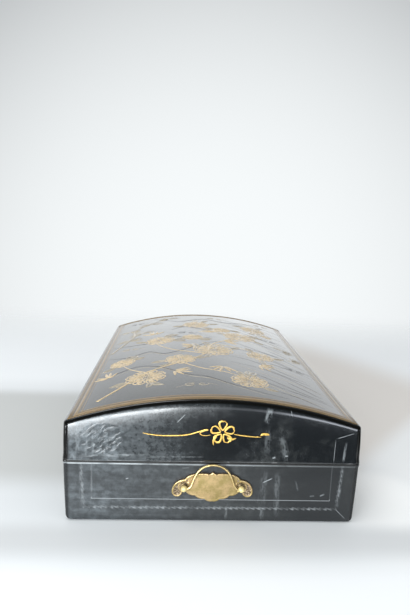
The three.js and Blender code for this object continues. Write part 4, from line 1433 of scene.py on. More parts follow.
def paintLid():
    layout = lidLayout
    rng = random.Random(layout["seed"])
    brown, tan, gold, soft, dark = (newStore() for _ in range(5))
    addFrame(brown, *layout["brownBand"], 0.1, onLid)
    addFrame(tan, *layout["tanBand"], 0.14, onLid)
    addFrame(brown, *layout["brownLine"], 0.12, onLid)
    addFrame(tan, *layout["paleLine"], 0.14, onLid)

    addStroke(gold, smoothLine(layout["branch"], 10), taper(1.5, 0.6), 0.35, onLid)
    for points in layout["sideBranches"]:
        addStroke(gold, smoothLine(points, 9), taper(1.0, 0.4), 0.3, onLid)
    for u, v, radius, petals in layout["blossoms"]:
        addBlossom(gold, u, v, radius, petals, rng.uniform(0, 1), onLid)
        for k in range(layout["leaves"]):
            angle = rng.uniform(0, 2 * pi)
            start = radius * layout["leafStart"]
            addLeaf(
                soft, u + start * cos(angle), v + start * sin(angle), angle,
                rng.uniform(12, 17), rng.uniform(3.6, 4.8), rng.uniform(-0.5, 0.5), onLid,
            )
    for u, v, heading in layout["bamboo"]:
        for k in range(layout["bambooLeaves"]):
            fan = (k - layout["bambooLeaves"] // 2) * layout["bambooFan"]
            angle = radians(heading + fan + rng.uniform(-6, 6))
            line = ray(u, v, angle, 1.5, rng.uniform(15, 21), 8, rng.uniform(-0.15, 0.15))
            addStroke(gold, line, leafWidth(1.7, 0.35), 0.3, onLid)

    addStroke(soft, smoothLine(layout["pineTrunk"], 10), taper(2.0, 0.7), 0.35, onLid)
    for u, v, radius, heading in layout["pines"]:
        addNeedles(soft, u, v, radius, layout["needles"], radians(heading), onLid, rng)

    for u, v, size, turn in layout["goldClouds"]:
        addCloud(soft, u, v, size, turn, onLid, 0.7)
    for u, v, size, turn in layout["darkClouds"]:
        addCloud(dark, u, v, size, turn, onLid, 0.55)
    for ridge in layout["hills"]:
        addStroke(dark, smoothLine(ridge, 8), brush(0.7, 0.15), 0.3, onLid)
        echo = [(u + layout["echo"][0], v + layout["echo"][1]) for u, v in ridge[1:-1]]
        addStroke(soft, smoothLine(echo, 8), brush(0.4, 0.12), 0.2, onLid)
    stream = layout["stream"]
    for row in range(stream["rows"]):
        shift = (row - stream["rows"] / 2) * stream["gap"]
        start, end = rng.uniform(0.2, 0.7), rng.uniform(0.8, 1.0)
        phase = rng.uniform(0, 6)
        line = []
        for i in range(stream["points"] + 1):
            t = start + (end - start) * i / stream["points"]
            u = stream["from"][0] + (stream["to"][0] - stream["from"][0]) * t
            v = stream["from"][1] + (stream["to"][1] - stream["from"][1]) * t
            v = v + shift + stream["wave"][0] * sin(phase + stream["wave"][1] * t)
            if abs(u) < stream["field"][0] and abs(v) < stream["field"][1]:
                line.append((u, v))
        if len(line) > stream["fewest"]:
            thin = row % stream["thinEvery"] == 1
            store, half = (soft, 0.34) if thin else (dark, 0.42)
            addStroke(store, smoothLine(line, 3), brush(half, 0.1), 0.2, onLid)

    storePiece("lid_brown_border", brown, brownBorder, "lid")
    storePiece("lid_tan_border", tan, tanBorder, "lid")
    storePiece("lid_gold_sprays", gold, brightGold, "lid")
    storePiece("lid_soft_gold", soft, softGold, "lid")
    makePiece("lid_dark_relief", (dark["points"], dark["faces"]), [reliefLacquer], "lid")
    print("lid ornament:", sum(len(store["faces"]) for store in (brown, tan, gold, soft, dark)), "faces")


paintLid()

# The gold flourish on each gable: two thin lines and a small open blossom between them, in mm
flourish = {
    "left": [
        (-56.8, 76.8), (-52.8, 75.9), (-43.1, 74.8), (-27.1, 75.1), (-19.1, 76.4), (-13, 78.4),
        (-7.4, 80.3), (-5.6, 80.0), (-8.4, 79.3), (-11.6, 77.6), (-10.6, 75.9), (-7.2, 75.3), (-3.4, 76),
    ],
    "right": [(15.4, 76.9), (21.6, 75.9), (31.4, 75.0), (37.2, 75.0)],
    "head": [(36.6, 76.2), (38.6, 77.3), (41.6, 77.3), (43.6, 76.8)],
    "middle": (6.2, 78.2),
    "radius": 9.6,
    "petals": 5,
    "petal": (0.2, 0.3, 0.06),  # shares of the radius at its root and across, and its notch
    "petalLine": (0.58, 0.26),
    "tip": (0.3, 0.92),  # shares of the radius where the short leaf between two petals starts and ends
    "curls": ((-0.75, 7.5), (3.7, 8.2)),  # angle and length of the two leaves beside the blossom
    "curlRoot": (5, 6),
}


def onGable(side):
    def place(x, z, h):
        flat, up = x * mm, z * mm
        depth = archHeight(flat, caseForm["skin"]) - up
        out = halfLength - flareAt(up - lidMouth) - pillowAt(depth) + h * mm
        return Vector((-side * flat, side * out, up))
    return place


def paintGable(name, side):
    store = newStore()
    place = onGable(side)
    addStroke(store, smoothLine(flourish["left"], 6), brush(0.5, 0.12), 0.2, place)
    addStroke(store, smoothLine(flourish["right"], 6), brush(0.45, 0.12), 0.2, place)
    addStroke(store, smoothLine(flourish["head"], 6), brush(1.0, 0.15), 0.24, place)
    midX, midZ = flourish["middle"]
    radius = flourish["radius"]
    root, half, notch = flourish["petal"]
    thin, swell = flourish["petalLine"]
    for k in range(flourish["petals"]):
        angle = radians(90 + 360 * k / flourish["petals"])
        rim = petalLoop(midX, midZ, angle, radius * root, radius, radius * half, notch)
        addStroke(store, rim, lambda t: thin + swell * sin(2 * pi * t), 0.26, place, True)
        between = angle + pi / flourish["petals"]
        tip = ray(midX, midZ, between, *[radius * share for share in flourish["tip"]], 5, 0.25)
        addStroke(store, tip, leafWidth(0.62, 0.7), 0.24, place)
    rootX, rootZ = flourish["curlRoot"]
    for turnAngle, reach in flourish["curls"]:
        x, z = midX + rootX * cos(turnAngle), midZ + rootZ * sin(turnAngle)
        addStroke(store, ray(x, z, turnAngle, 0, reach, 8, 0.7), leafWidth(1.0, 0.4), 0.26, place)
    storePiece(name, store, flourishGold, "lid")


paintGable("near_gable_flourish", -1)
paintGable("far_gable_flourish", 1)
print("gable flourishes made")


# Sheets on the walls reach this far into them, past the walls' set-back from their mouths
sheetBack = 1.3 * mm


# Places on the ends: side is -1 on the near end and 1 on the far end
def onEnd(side):
    return lambda x, out, z: Vector((-side * x, side * (halfLength + out), z))


plateForm = {
    # In mm
    "thickness": 1.0,
    "rise": 12.4,
    "drop": 12.6,
    "earReach": 9.6,
    "edgeRound": 0.3,
    "rim": 1.15,
    "recess": 0.42,
    "dome": 0.4,
    "domeReach": 17.0,
    "bead": 0.22,
    "boss": 3.0,
    "ringPlace": 4.3,  # a raised ring round each boss
    "ringHalf": 0.75,
    "ringRise": 0.34,
    "soft": 0.2,  # half the width of a step between two levels
    # Distances from the plate's middle between which a form starts or ends
    "domeEnd": (15.0, 20.0),
    "earStart": (19.2, 20.4),
    "beadEnd": (17.0, 19.0),
    "ringStart": (18.2, 19.4),
    "beadReach": (0.5, 1.3),  # from the edge
    "ringEdge": (0.1, 0.6),
    "pitch": 0.62,
    "clear": 0.45,  # least distance of a net point from the edge, in pitches
    "cusps": [
        (0, 1, -0.012), (0.098, 0.86, 0.02), (0.4, 0.85, 0.045), (0.69, 0.472, 0.08), (1, -0.27, 0.141),
        (0.742, -0.413, -0.015), (0.663, -0.34, 0.034), (0.43, -0.6, 0.034), (0.193, -0.835, 0.028),
        (0, -1, 0),
    ],
}


# Distance in mm from a point to a closed outline
def edgeDistance(x, y, outline):
    best = inf
    for (x0, y0), (x1, y1) in zip(outline, outline[1:] + outline[:1]):
        dx, dy = x1 - x0, y1 - y0
        t = min(1.0, max(0.0, ((x - x0) * dx + (y - y0) * dy) / (dx * dx + dy * dy)))
        best = min(best, hypot(x - x0 - t * dx, y - y0 - t * dy))
    return best


def isInside(x, y, outline):
    hit = False
    for (x0, y0), (x1, y1) in zip(outline, outline[1:] + outline[:1]):
        if (y0 > y) != (y1 > y) and x < (x1 - x0) * (y - y0) / (y1 - y0) + x0:
            hit = not hit
    return hit


# The embossed sheet's front, as flat points in mm, triangles and heights, worked out once for both ends
def embossPlate():
    form = plateForm
    reach = postX / mm + form["earReach"]
    half = [
        (across * reach, up * (form["rise"] if up > 0 else form["drop"]), bulge * reach)
        for across, up, bulge in form["cusps"]
    ]
    outline = lobedOutline(mirrored(half), 8)
    flat = [Vector(p) for p in outline]
    rows = int((form["rise"] + form["drop"]) / form["pitch"]) + 1
    columns = int(2 * reach / form["pitch"]) + 1
    for row in range(rows):
        for column in range(columns):
            x = -reach + (column + 0.5 * (row % 2)) * form["pitch"]
            y = -form["drop"] + row * form["pitch"]
            if isInside(x, y, outline) and edgeDistance(x, y, outline) > form["clear"] * form["pitch"]:
                flat.append(Vector((x, y)))
    edges = [(i, (i + 1) % len(outline)) for i in range(len(outline))]
    points, _, faces, *_ = delaunay_2d_cdt(flat, edges, [list(range(len(outline)))], 1, 1e-4)
    heights, soft = [], form["soft"]
    for p in points:
        d = edgeDistance(p.x, p.y, outline)
        fromPost = hypot(abs(p.x) - postX / mm, p.y)
        rounded = form["edgeRound"] * (1 - sqrt(1 - (1 - min(1.0, d / form["edgeRound"])) ** 2))
        middle = 1 - step(abs(p.x), *form["domeEnd"])
        across, upward = p.x / form["domeReach"], p.y / (form["rise"] if p.y > 0 else form["drop"])
        dome = form["dome"] * max(0.0, 1 - across ** 2 - upward ** 2) * middle
        ear = step(abs(p.x), *form["earStart"]) * step(d, form["rim"] - soft, form["rim"] + soft)
        sunk = form["recess"] * ear * step(fromPost, form["boss"] - soft, form["boss"] + soft)
        bead = form["bead"] * (1 - step(d, *form["beadReach"])) * (1 - step(abs(p.x), *form["beadEnd"]))
        ring = form["ringRise"] * max(0.0, 1 - (abs(fromPost - form["ringPlace"]) / form["ringHalf"]) ** 2)
        ring *= step(abs(p.x), *form["ringStart"]) * step(d, *form["ringEdge"])
        heights.append(form["thickness"] - rounded + dome + bead + ring - sunk)
    return outline, [tuple(p) for p in points], faces, heights


plateShape = embossPlate()


def handlePlate(name, side):
    outline, flat, faces, heights = plateShape
    place = onEnd(side)
    points = [place(x * mm, h * mm, postZ + y * mm) for (x, y), h in zip(flat, heights)]
    back = [place(x * mm, -sheetBack, postZ + y * mm) for x, y in outline]
    count = len(outline)
    start = len(points)
    walls = [(i, (i + 1) % count, start + (i + 1) % count, start + i) for i in range(count)]
    allFaces = [tuple(f) for f in faces] + walls + [tuple(start + i for i in range(count))]
    piece = makePiece(
        f"{name}_plate", (points + back, allFaces), [plateBrass], "base", crease=50,
    )
    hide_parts(f"{name}_handle_plate")


# A turned form: profile of (radius, distance) in mm about a line through a point
def turnedForm(profile, origin, direction, sides=32):
    axis = direction.normalized()
    first = axis.orthogonal().normalized()
    second = axis.cross(first)
    points, faces, rings = [], [], []
    for radius, along in profile:
        centre = origin + axis * along * mm
        if radius < 1e-6:
            rings.append([len(points)] * sides)
            points.append(centre)
            continue
        ring = []
        for k in range(sides):
            angle = 2 * pi * k / sides
            ring.append(len(points))
            points.append(centre + (first * cos(angle) + second * sin(angle)) * radius * mm)
        rings.append(ring)
    for a, b in zip(rings, rings[1:]):
        for k in range(sides):
            j = (k + 1) % sides
            corners = []
            for corner in (a[k], a[j], b[j], b[k]):
                if corner not in corners:
                    corners.append(corner)
            if len(corners) > 2:
                faces.append(corners)
    return points, faces


# Round wire along a line of points, closed at both ends
def tubeForm(line, radius, sides=16):
    line = [Vector(p) for p in line]
    points, faces = [], []
    tangent = (line[1] - line[0]).normalized()
    normal = tangent.orthogonal().normalized()
    for i, p in enumerate(line):
        ahead = line[min(i + 1, len(line) - 1)] - line[max(i - 1, 0)]
        ahead.normalize()
        turn = tangent.rotation_difference(ahead)
        normal.rotate(turn)
        tangent = ahead
        binormal = tangent.cross(normal)
        for k in range(sides):
            angle = 2 * pi * k / sides
            points.append(p + (normal * cos(angle) + binormal * sin(angle)) * radius)
    for i in range(len(line) - 1):
        for k in range(sides):
            j = (k + 1) % sides
            faces.append((i * sides + k, i * sides + j, (i + 1) * sides + j, (i + 1) * sides + k))
    faces.append(tuple(range(sides)))
    faces.append(tuple((len(line) - 1) * sides + k for k in range(sides)))
    return points, faces


def mergeForms(forms):
    points, faces = [], []
    for formPoints, formFaces in forms:
        start = len(points)
        points += formPoints
        faces += [tuple(start + i for i in face) for face in formFaces]
    return points, faces


handleForm = {
    # In mm
    "standoff": 4.3,
    "ball": 2.6,
    "neck": 1.6,
    "collar": 2.7,
    "collarRise": 0.55,
    "shank": 1.2,
    "rivet": 2.1,
    "rivetRise": 0.9,
    "washer": 0.8,
    # The washer's section: (radius, distance from the wall)
    "washerRing": [
        (1.5, 0.15), (1.65, 0), (4.0, 0), (4.2, 0.2), (4.15, 0.62), (3.9, 0.8), (1.7, 0.8), (1.5, 0.65),
        (1.5, 0.15),
    ],
    "wall": 8.0,
    "wire": 0.9,
    "bailGap": 0.3,  # between the bail's top and the plate at rest
    "bailRise": 19.4,
    "footRun": 0.4,
    "footDepth": 0.6,
    "bailCurve": [(0.775, 0.075), (0.715, 0.23), (0.645, 0.46), (0.52, 0.72), (0.3, 0.925)],
}


def handlePost(name, side, right):
    form = handleForm
    place = onEnd(side)
    origin = place(right * postX, 0, postZ)
    outward = place(0, 1, 0) - place(0, 0, 0)
    meet = degrees(acos(form["neck"] / form["ball"]))
    ball = arc((0, form["standoff"]), form["ball"], -meet, 90, 14)
    sheet = plateForm["thickness"]
    inside = -form["wall"] - form["washer"]
    rise = form["rivetRise"]
    collar = form["collar"]
    profile = [
        (0, inside - rise), (form["rivet"] * 0.55, inside - rise * 0.92),
        (form["rivet"] * 0.88, inside - rise * 0.62),
        (form["rivet"], inside - rise * 0.2), (form["rivet"], inside), (form["shank"], inside),
        (form["shank"], sheet - 0.2), (collar, sheet - 0.1), (collar, sheet + form["collarRise"] * 0.5),
        (collar * 0.82, sheet + form["collarRise"]), (form["neck"], sheet + form["collarRise"] * 1.1),
    ] + ball[:-1] + [(0, form["standoff"] + form["ball"])]
    points, faces = turnedForm(profile, origin, outward)
    collarEnd = len(profile) - len(ball) - 1
    spans = len(profile) - 1
    indices = [int(i * spans < collarEnd * len(faces)) for i in range(len(faces))]
    label = "right" if right > 0 else "left"
    # The collar takes the plate's brass, so that the dirt and painted shadow round the post darken it
    brasses = [ballBrass, plateBrass]
    piece = makePiece(f"{name}_post_{label}", (points, faces), brasses, "base", indices, 60)
    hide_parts(f"{name}_handle_post_{label}")

    inner = place(right * postX, -form["wall"] * mm, postZ)
    shape = turnedForm(form["washerRing"], inner, -outward)
    piece = makePiece(f"{name}_washer_{label}", shape, [sheetBrass], "base", crease=60)
    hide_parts(f"{name}_handle_washer_{label}")


def handleBail(name, side):
    form = handleForm
    place = onEnd(side)
    post = postX / mm
    restStandoff = plateForm["thickness"] + form["wire"] + form["bailGap"]
    half = [
        (post + form["footDepth"], 0), (post - 0.5 * form["ball"], 0),
        (post - form["ball"] - form["footRun"], 0),
    ]
    half += [(across * post, up * form["bailRise"]) for across, up in form["bailCurve"]]
    line = [(-x, rise) for x, rise in half] + [(0, form["bailRise"])] + half[::-1]
    path = []
    for x, rise in smoothLine(line, 8):
        out = form["standoff"] - (form["standoff"] - restStandoff) * rise / form["bailRise"]
        path.append(place(x * mm, out * mm, postZ + rise * mm))
    shape = tubeForm(path, form["wire"] * mm, 20)
    piece = makePiece(f"{name}_bail_wire", shape, [wireBrass], f"{name}_bail")
    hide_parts(f"{name}_handle_bail")


for name, side in (("near", -1), ("far", 1)):
    handlePlate(name, side)
    handleBail(name, side)
    for right in (-1, 1):
        handlePost(name, side, right)
print("handles made")


# Hinges, in mm but for the bevel
hingeForm = {
    "half": 18,
    "leaf": 1.0,
    "knuckle": 2.2,
    "gap": 0.35,
    "edge": 0.9,
    "corner": 3.0,
    "count": 5,
    "web": 2.0,
    "bevel": 0.28 * mm,
    "pin": 0.9,
    "finial": 1.7,
    "finialRise": 1.4,
    "webStart": 0.6,
    "play": 0.25,  # round the pin in a knuckle
    "knuckleEdge": 0.2,
}


# A flat sheet drawn out from a wall: outline of (y, z) in metres, between two X planes
def sheetForm(outline, backX, frontX):
    count = len(outline)
    points = [Vector((backX, y, z)) for y, z in outline] + [Vector((frontX, y, z)) for y, z in outline]
    faces = [(i, (i + 1) % count, count + (i + 1) % count, count + i) for i in range(count)]
    faces.append(tuple(range(count)))
    faces.append(tuple(count + i for i in reversed(range(count))))
    return points, faces


# A rolled knuckle with a bore for the pin, along +Y from a point
def knuckleForm(origin, radius, bore, length):
    edge = hingeForm["knuckleEdge"]
    profile = [
        (bore, 0), (radius - edge, 0), (radius, edge), (radius, length - edge), (radius - edge, length),
        (bore, length), (bore, 0),
    ]
    return turnedForm(profile, origin, Vector((0, 1, 0)), 28)


def hingeLeaf(name, half):
    form = hingeForm
    node = f"{name}_{'lid' if half > 0 else 'base'}_leaf"
    low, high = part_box(node)
    pinLow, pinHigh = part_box(f"{name}_pin")
    axisX, axisZ = (pinLow.x + pinHigh.x) / 2, (pinLow.z + pinHigh.z) / 2
    far = high.z - axisZ if half > 0 else axisZ - low.z
    middle, end = (pinLow.y + pinHigh.y) / 2, form["half"] * mm
    r = form["corner"] * mm
    flat = [(-end, form["edge"] * mm), (end, form["edge"] * mm)]
    flat += arc((end - r, far - r), r, 0, 90, 6) + arc((r - end, far - r), r, 90, 180, 6)
    outline = [(middle + y, axisZ + half * z) for y, z in flat]
    forms = [sheetForm(outline, halfWidth - sheetBack, halfWidth + form["leaf"] * mm)]
    pitch = 2 * end / form["count"]
    for i in range(form["count"]):
        if (i % 2 == 0) != (half < 0):
            continue
        gap = form["gap"] * mm / 2
        start = middle - end + i * pitch + (gap if i else 0)
        stop = middle - end + (i + 1) * pitch - (gap if i < form["count"] - 1 else 0)
        origin = Vector((axisX, start, axisZ))
        forms.append(knuckleForm(origin, form["knuckle"], form["pin"] + form["play"], (stop - start) / mm))
        webZ = sorted((axisZ + half * form["webStart"] * mm, axisZ + half * form["web"] * mm))
        web = [(start, webZ[0]), (stop, webZ[0]), (stop, webZ[1]), (start, webZ[1])]
        forms.append(sheetForm(web, halfWidth - sheetBack, halfWidth + form["leaf"] * mm))
    shape = mergeForms(forms)
    body = "lid" if half > 0 else "base"
    piece = makePiece(f"{node}_sheet", shape, [sheetBrass], body, crease=40)
    addBevel(piece, form["bevel"])
    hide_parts(node)


def pinPiece(node, body):
    form = hingeForm
    low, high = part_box(node)
    middle = (low + high) / 2
    end = (high.y - low.y) / 2 / mm
    reach = end - form["finialRise"]
    top = [
        (form["pin"], reach), (form["finial"] - 0.2, reach), (form["finial"], reach + 0.2),
        (form["finial"] * 0.97, reach + 0.55), (form["finial"] * 0.72, reach + 1.05),
        (form["finial"] * 0.4, reach + 1.3), (0, end),
    ]
    profile = [(r, -a) for r, a in reversed(top)] + top
    shape = turnedForm(profile, middle, Vector((0, 1, 0)), 24)
    piece = makePiece(f"{node}_rod", shape, [wireBrass], body, crease=50)
    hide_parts(node)


for name in ("hinge_near", "hinge_far"):
    hingeLeaf(name, 1)
    hingeLeaf(name, -1)
    pinPiece(f"{name}_pin", "base")
print("hinges made")

# Lock, in mm but for the bevel
lockForm = {
    "sheet": 1.0,
    "bevel": 0.28 * mm,
    "knuckle": 2.2,
    "bore": 1.15,
    "lidKnuckle": 3.8,
    "foot": 2.4,
    "footDepth": (0.5, 1.2),  # into the lid plate, and past the pin's middle towards the case
    "barrel": 8.7,
    "gap": 0.35,
    "back": 0.5,
    "neck": 4.0,
    "swell": 1.6,
    "shoulderDrop": 6.0,
    "tongue": 6.4,
    "wire": 1.1,
    "eye": 6.4,
    "cusps": [
        (0, 0, 0), (1, 0, 0), (1, -0.34, 0.07), (0.84, -0.76, 0.04), (0.6, -0.85, 0.05), (0.22, -0.95, -0.01),
        (0, -1, 0),
    ],
}
pinLow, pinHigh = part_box("hasp_pin")
haspX, haspZ = (pinLow.x + pinHigh.x) / 2, (pinLow.z + pinHigh.z) / 2


def lockPlate(node, half, body):
    form = lockForm
    low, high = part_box(node)
    wide, tall = high.y, high.z - low.z
    cusps = [(a * wide, u * tall, b * wide) for a, u, b in form["cusps"]]
    edge = low.z if half > 0 else high.z
    outline = [(y, edge - half * z) for y, z in lobedOutline(mirrored(cusps), 8)]
    forms = [sheetForm(outline, sheetBack - halfWidth, -halfWidth - form["sheet"] * mm)]
    if half > 0:
        inner = form["barrel"] / 2 + form["gap"]
        outer = inner + form["lidKnuckle"]
        for side in (-1, 1):
            start, stop = sorted((side * inner, side * outer))
            origin = Vector((haspX, start * mm, haspZ))
            forms.append(knuckleForm(origin, form["knuckle"], form["bore"], stop - start))
            foot = form["foot"] * mm / 2
            below, above = haspZ - foot, haspZ + foot
            box = [(start * mm, below), (stop * mm, below), (stop * mm, above), (start * mm, above)]
            inside, past = form["footDepth"]
            forms.append(sheetForm(box, -halfWidth - inside * mm, haspX + past * mm))
    shape = mergeForms(forms)
    piece = makePiece(f"{node}_sheet", shape, [sheetBrass], body, crease=40)
    addBevel(piece, form["bevel"])
    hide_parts(node)


# A loop of wire that stands out along -X from a root, about a height
def eyeLine(rootX, tipX, y, z):
    reach = (lockForm["eye"] / 2 + lockForm["wire"]) * mm
    bendX = tipX + lockForm["wire"] * mm + reach
    loop = arc((bendX, z), reach, 270, 90, 16)
    return [(rootX, y, z - reach)] + [(px, y, pz) for px, pz in loop] + [(rootX, y, z + reach)]


def hasp():
    form = lockForm
    low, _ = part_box("hasp")
    stapleLow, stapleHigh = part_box("lock_staple_1")
    eyeZ = (stapleLow.z + stapleHigh.z) / 2
    barrel, tongue = form["barrel"] / 2 * mm, form["tongue"] / 2 * mm
    back = haspX + form["back"] * mm
    tip = low.z
    cusps = [
        (0, haspZ, 0), (barrel, haspZ, 0), (barrel, haspZ - form["neck"] * mm, form["swell"] * mm),
        (tongue, seamTop - form["shoulderDrop"] * mm, 0),
        (tongue, tip + tongue, tongue * (1 - sqrt(0.5))),
        (0, tip, 0),
    ]
    outline = lobedOutline(mirrored(cusps), 8)
    forms = [
        sheetForm(outline, back, back - form["sheet"] * mm),
        knuckleForm(Vector((haspX, -barrel, haspZ)), form["knuckle"], form["bore"], form["barrel"]),
        tubeForm(eyeLine(haspX, low.x, 0, eyeZ), form["wire"] * mm),
    ]
    shape = mergeForms(forms)
    piece = makePiece("hasp_tongue", shape, [sheetBrass], "hasp", crease=40)
    addBevel(piece, form["bevel"])
    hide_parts("hasp")


def staple(node):
    low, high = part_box(node)
    line = eyeLine(high.x, low.x, (low.y + high.y) / 2, (low.z + high.z) / 2)
    shape = tubeForm(line, lockForm["wire"] * mm)
    piece = makePiece(f"{node}_wire", shape, [wireBrass], "base", crease=60)
    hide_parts(node)


lockPlate("lock_lid_plate", 1, "lid")
lockPlate("lock_base_plate", -1, "base")
hasp()
pinPiece("hasp_pin", "lid")
staple("lock_staple_1")
staple("lock_staple_2")
print("lock made")

# Nails, in mm
nailForm = {
    "head": 1.9,
    "rise": 0.9,
    "shank": 0.7,
    "length": 6.5,
}


# A round-headed nail in the middle of its node's box, with its head away from the case
def nailPiece(node, body):
    form = nailForm
    low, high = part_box(node)
    outward = 1 if low.x > 0 else -1
    tip = high.x if outward > 0 else low.x
    head = Vector((tip - outward * form["rise"] * mm, (low.y + high.y) / 2, (low.z + high.z) / 2))
    dome = arc((0, 0), 1, 10, 80, 5)
    profile = [
        (0, -form["length"]), (form["shank"], form["shank"] - form["length"]), (form["shank"], 0),
        (form["head"] - 0.12, 0), (form["head"], 0.08),
    ] + [(form["head"] * a, form["rise"] * b) for a, b in dome] + [(0, form["rise"])]
    shape = turnedForm(profile, head, Vector((outward, 0, 0)), 24)
    piece = makePiece(f"{node}_stud", shape, [wireBrass], body, crease=60)
    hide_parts(node)


for node in sorted(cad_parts):
    if "nail" in node:
        nailPiece(node, "lid" if "lid" in node else "base")
print("nails made")

# The rim strips keep their own solids
for node in ("rim_strip_front", "rim_strip_back", "rim_strip_near", "rim_strip_far"):
    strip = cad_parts[node]
    strip.data.materials.clear()
    strip.data.materials.append(rimLacquer)
print("rim strips finished")

# Stage
stage = {
    "floorSize": 8.0,
    "fadeStart": 0.3,  # from here to the end of the fade the floor dissolves into the backdrop
    "fadeEnd": 0.8,
    # The paper's tones are painted light and shade: lighter to the right, far back and in front
    "paper": (0.775, 0.8, 0.81, 1),
    "rightPaper": (0.87, 0.885, 0.885, 1),
    "glowPaper": (0.97, 0.98, 0.97, 1),  # painted light: a lighter patch beside the box's right near corner
    "glowPlace": (0.15, -0.14),
    "glowReach": (0.05, 0.05),
    "farPaper": (0.9, 0.925, 0.935, 1),
    "brightPaper": (0.9, 0.92, 0.93, 1),
    "leftShade": (0.6, 0.612, 0.6, 1),
    "rightShade": (0.76, 0.73, 0.69, 1),
    # Painted shadow: a darker line across the paper just in front of the box
    "dipShadow": (0.64, 0.655, 0.66, 1),
    "shadeNear": -0.112,
    "shadeFar": 0.112,
    "shadeSlope": 1.1,  # how the near side of the shade runs back, right of the box
    "slantStart": 0.12,
    "farSlope": 1.8,
    "farReach": 0.62,
    "dipPlace": -0.203,
    "dipHalf": 0.02,
    "brightStart": -0.232,
    "cardEnd": -0.262,  # the lacquer reflects the floor as far as this, and a dim room beyond it
    "room": (0.035, 0.035, 0.038, 1),
    "roughness": 0.7,
    "specular": 0.2,
    # Where each part fades in or out, in metres along its own direction
    "rightFade": (0.08, 0.2),
    "farFade": (0.1, 0.2),
    "glowFade": (0.2, 1.6),  # in reaches
    "cardFade": (0.015, -0.02),
    "dipFade": (0.2, 1.5),  # in half widths of the dip
    "dipMost": 0.85,
    "nearShadeFade": (-0.03, 0.02),
    "rightFarFade": (0.34, 0.08),
    "leftFarFade": (0.03, -0.012),
    "sideFade": (-0.05, 0.1),
}


# A fade whose start and end are counted from one of the stage's places
def fadeAt(value, middle, reaches):
    return fade(value, *[stage[middle] + reach for reach in stage[reaches]])


def makeFloor():
    half = stage["floorSize"] / 2
    mesh = bpy.data.meshes.new("floor_card")
    corners = [(-half, -half, 0), (half, -half, 0), (half, half, 0), (-half, half, 0)]
    mesh.from_pydata(corners, [], [[0, 1, 2, 3]])
    floor = bpy.data.objects.new("floor_card", mesh)
    bpy.context.scene.collection.objects.link(floor)
    material, shader, place = newMaterial("floor_card")
    x, y, _ = splitPlace(place)

    # Painted light in the paper's tone: lighter to the right, far back and in front
    paper = blendColour(fade(x, *stage["rightFade"]), stage["paper"], stage["rightPaper"])
    paper = blendColour(fade(y, *stage["farFade"]), paper, stage["farPaper"])
    # Painted light beside the box's right near corner
    glow = awayFrom((x, y), stage["glowPlace"], stage["glowReach"])
    paper = blendColour(fadeOut(glow, *stage["glowFade"]), paper, stage["glowPaper"])
    bright = fadeAt(y, "brightStart", "cardFade")
    colour = blendColour(bright, paper, stage["brightPaper"])
    # Painted shadow in front of the box
    fromDip = abs(y - stage["dipPlace"])
    dipShadow = fade(fromDip, *[share * stage["dipHalf"] for share in stage["dipFade"]], stage["dipMost"], 0.0)
    colour = blendColour(dipShadow, colour, stage["dipShadow"])
    slant = largest(x - stage["slantStart"], 0.0)
    nearSide = y - slant * stage["shadeSlope"]
    nearShade = fadeAt(nearSide, "shadeNear", "nearShadeFade")
    farSide = y + x * stage["farSlope"]
    rightFar = fadeAt(farSide, "farReach", "rightFarFade")
    leftFar = fadeAt(y, "shadeFar", "leftFarFade")
    rightward = fade(x, *stage["sideFade"])
    shade = nearShade * blendValue(rightward, leftFar, rightFar)
    shadeColour = blendColour(rightward, stage["leftShade"], stage["rightShade"])
    colour = blendColour(shade, colour, shadeColour)

    tree = material.node_tree
    light = outputsOf(tree.nodes.new("ShaderNodeLightPath"))
    unseen = fadeAt(y, "cardEnd", "cardFade") * light["Is Glossy Ray"]
    colour = blendColour(unseen, colour, stage["room"])
    dress(shader, {
        "Base Color": colour, "Roughness": stage["roughness"], "Specular IOR Level": stage["specular"],
    })

    clear = tree.nodes.new("ShaderNodeBsdfTransparent")
    dissolve = tree.nodes.new("ShaderNodeMixShader")
    join(fade(y, stage["fadeStart"], stage["fadeEnd"]), dissolve.inputs[0])
    tree.links.new(shader.outputs[0], dissolve.inputs[1])
    tree.links.new(clear.outputs[0], dissolve.inputs[2])
    tree.links.new(dissolve.outputs[0], tree.nodes["Material Output"].inputs["Surface"])
    mesh.materials.append(material)


# The world: a white backdrop that darkens away from its middle, a dim room and a row of low windows in front,
# for the lacquer to reflect, and an even light for everything else
worldLook = {
    "even": (0.86, 0.88, 0.9, 1),
    "strength": 0.74,
    "middle": (0.062, 0.985, -0.159),
    # Painted shade: the backdrop as the camera sees it, from its middle to its darker edge
    "seen": (0.935, 0.968, 0.978, 1),
    "edge": (0.2, 0.21, 0.22, 1),
    "edgeAngle": 0.72,  # cosine of the angle at which the backdrop's edge is reached
    "edgePower": 1.55,
    "backdrop": (1.37, 1.41, 1.43, 1),
    "highBackdrop": (0.42, 0.435, 0.44, 1),
    "backdropMiddle": 0.04,
    "sideShare": 0.62,  # how much of its brightness the backdrop keeps far to the sides
    "dim": (0.035, 0.038, 0.044, 1),
    "windows": (1.0, 1.07, 1.17, 1),
    "rightWindow": (6.5, 6.9, 7.6, 1),
    # Where each part fades in or out, in shares of a direction of length 1
    "backdropTop": (0.42, 0.66),
    "backdropNear": (0.15, 0.6),
    "backdropHigh": (0.14, 0.42),
    "backdropSide": (0.08, 0.38),
    "windowFoot": (-0.004, 0.014),
    "windowTop": (0.14, 0.3),
    "windowFront": (-0.5, -0.8),
    "windowRight": (0.22, 0.34),
}


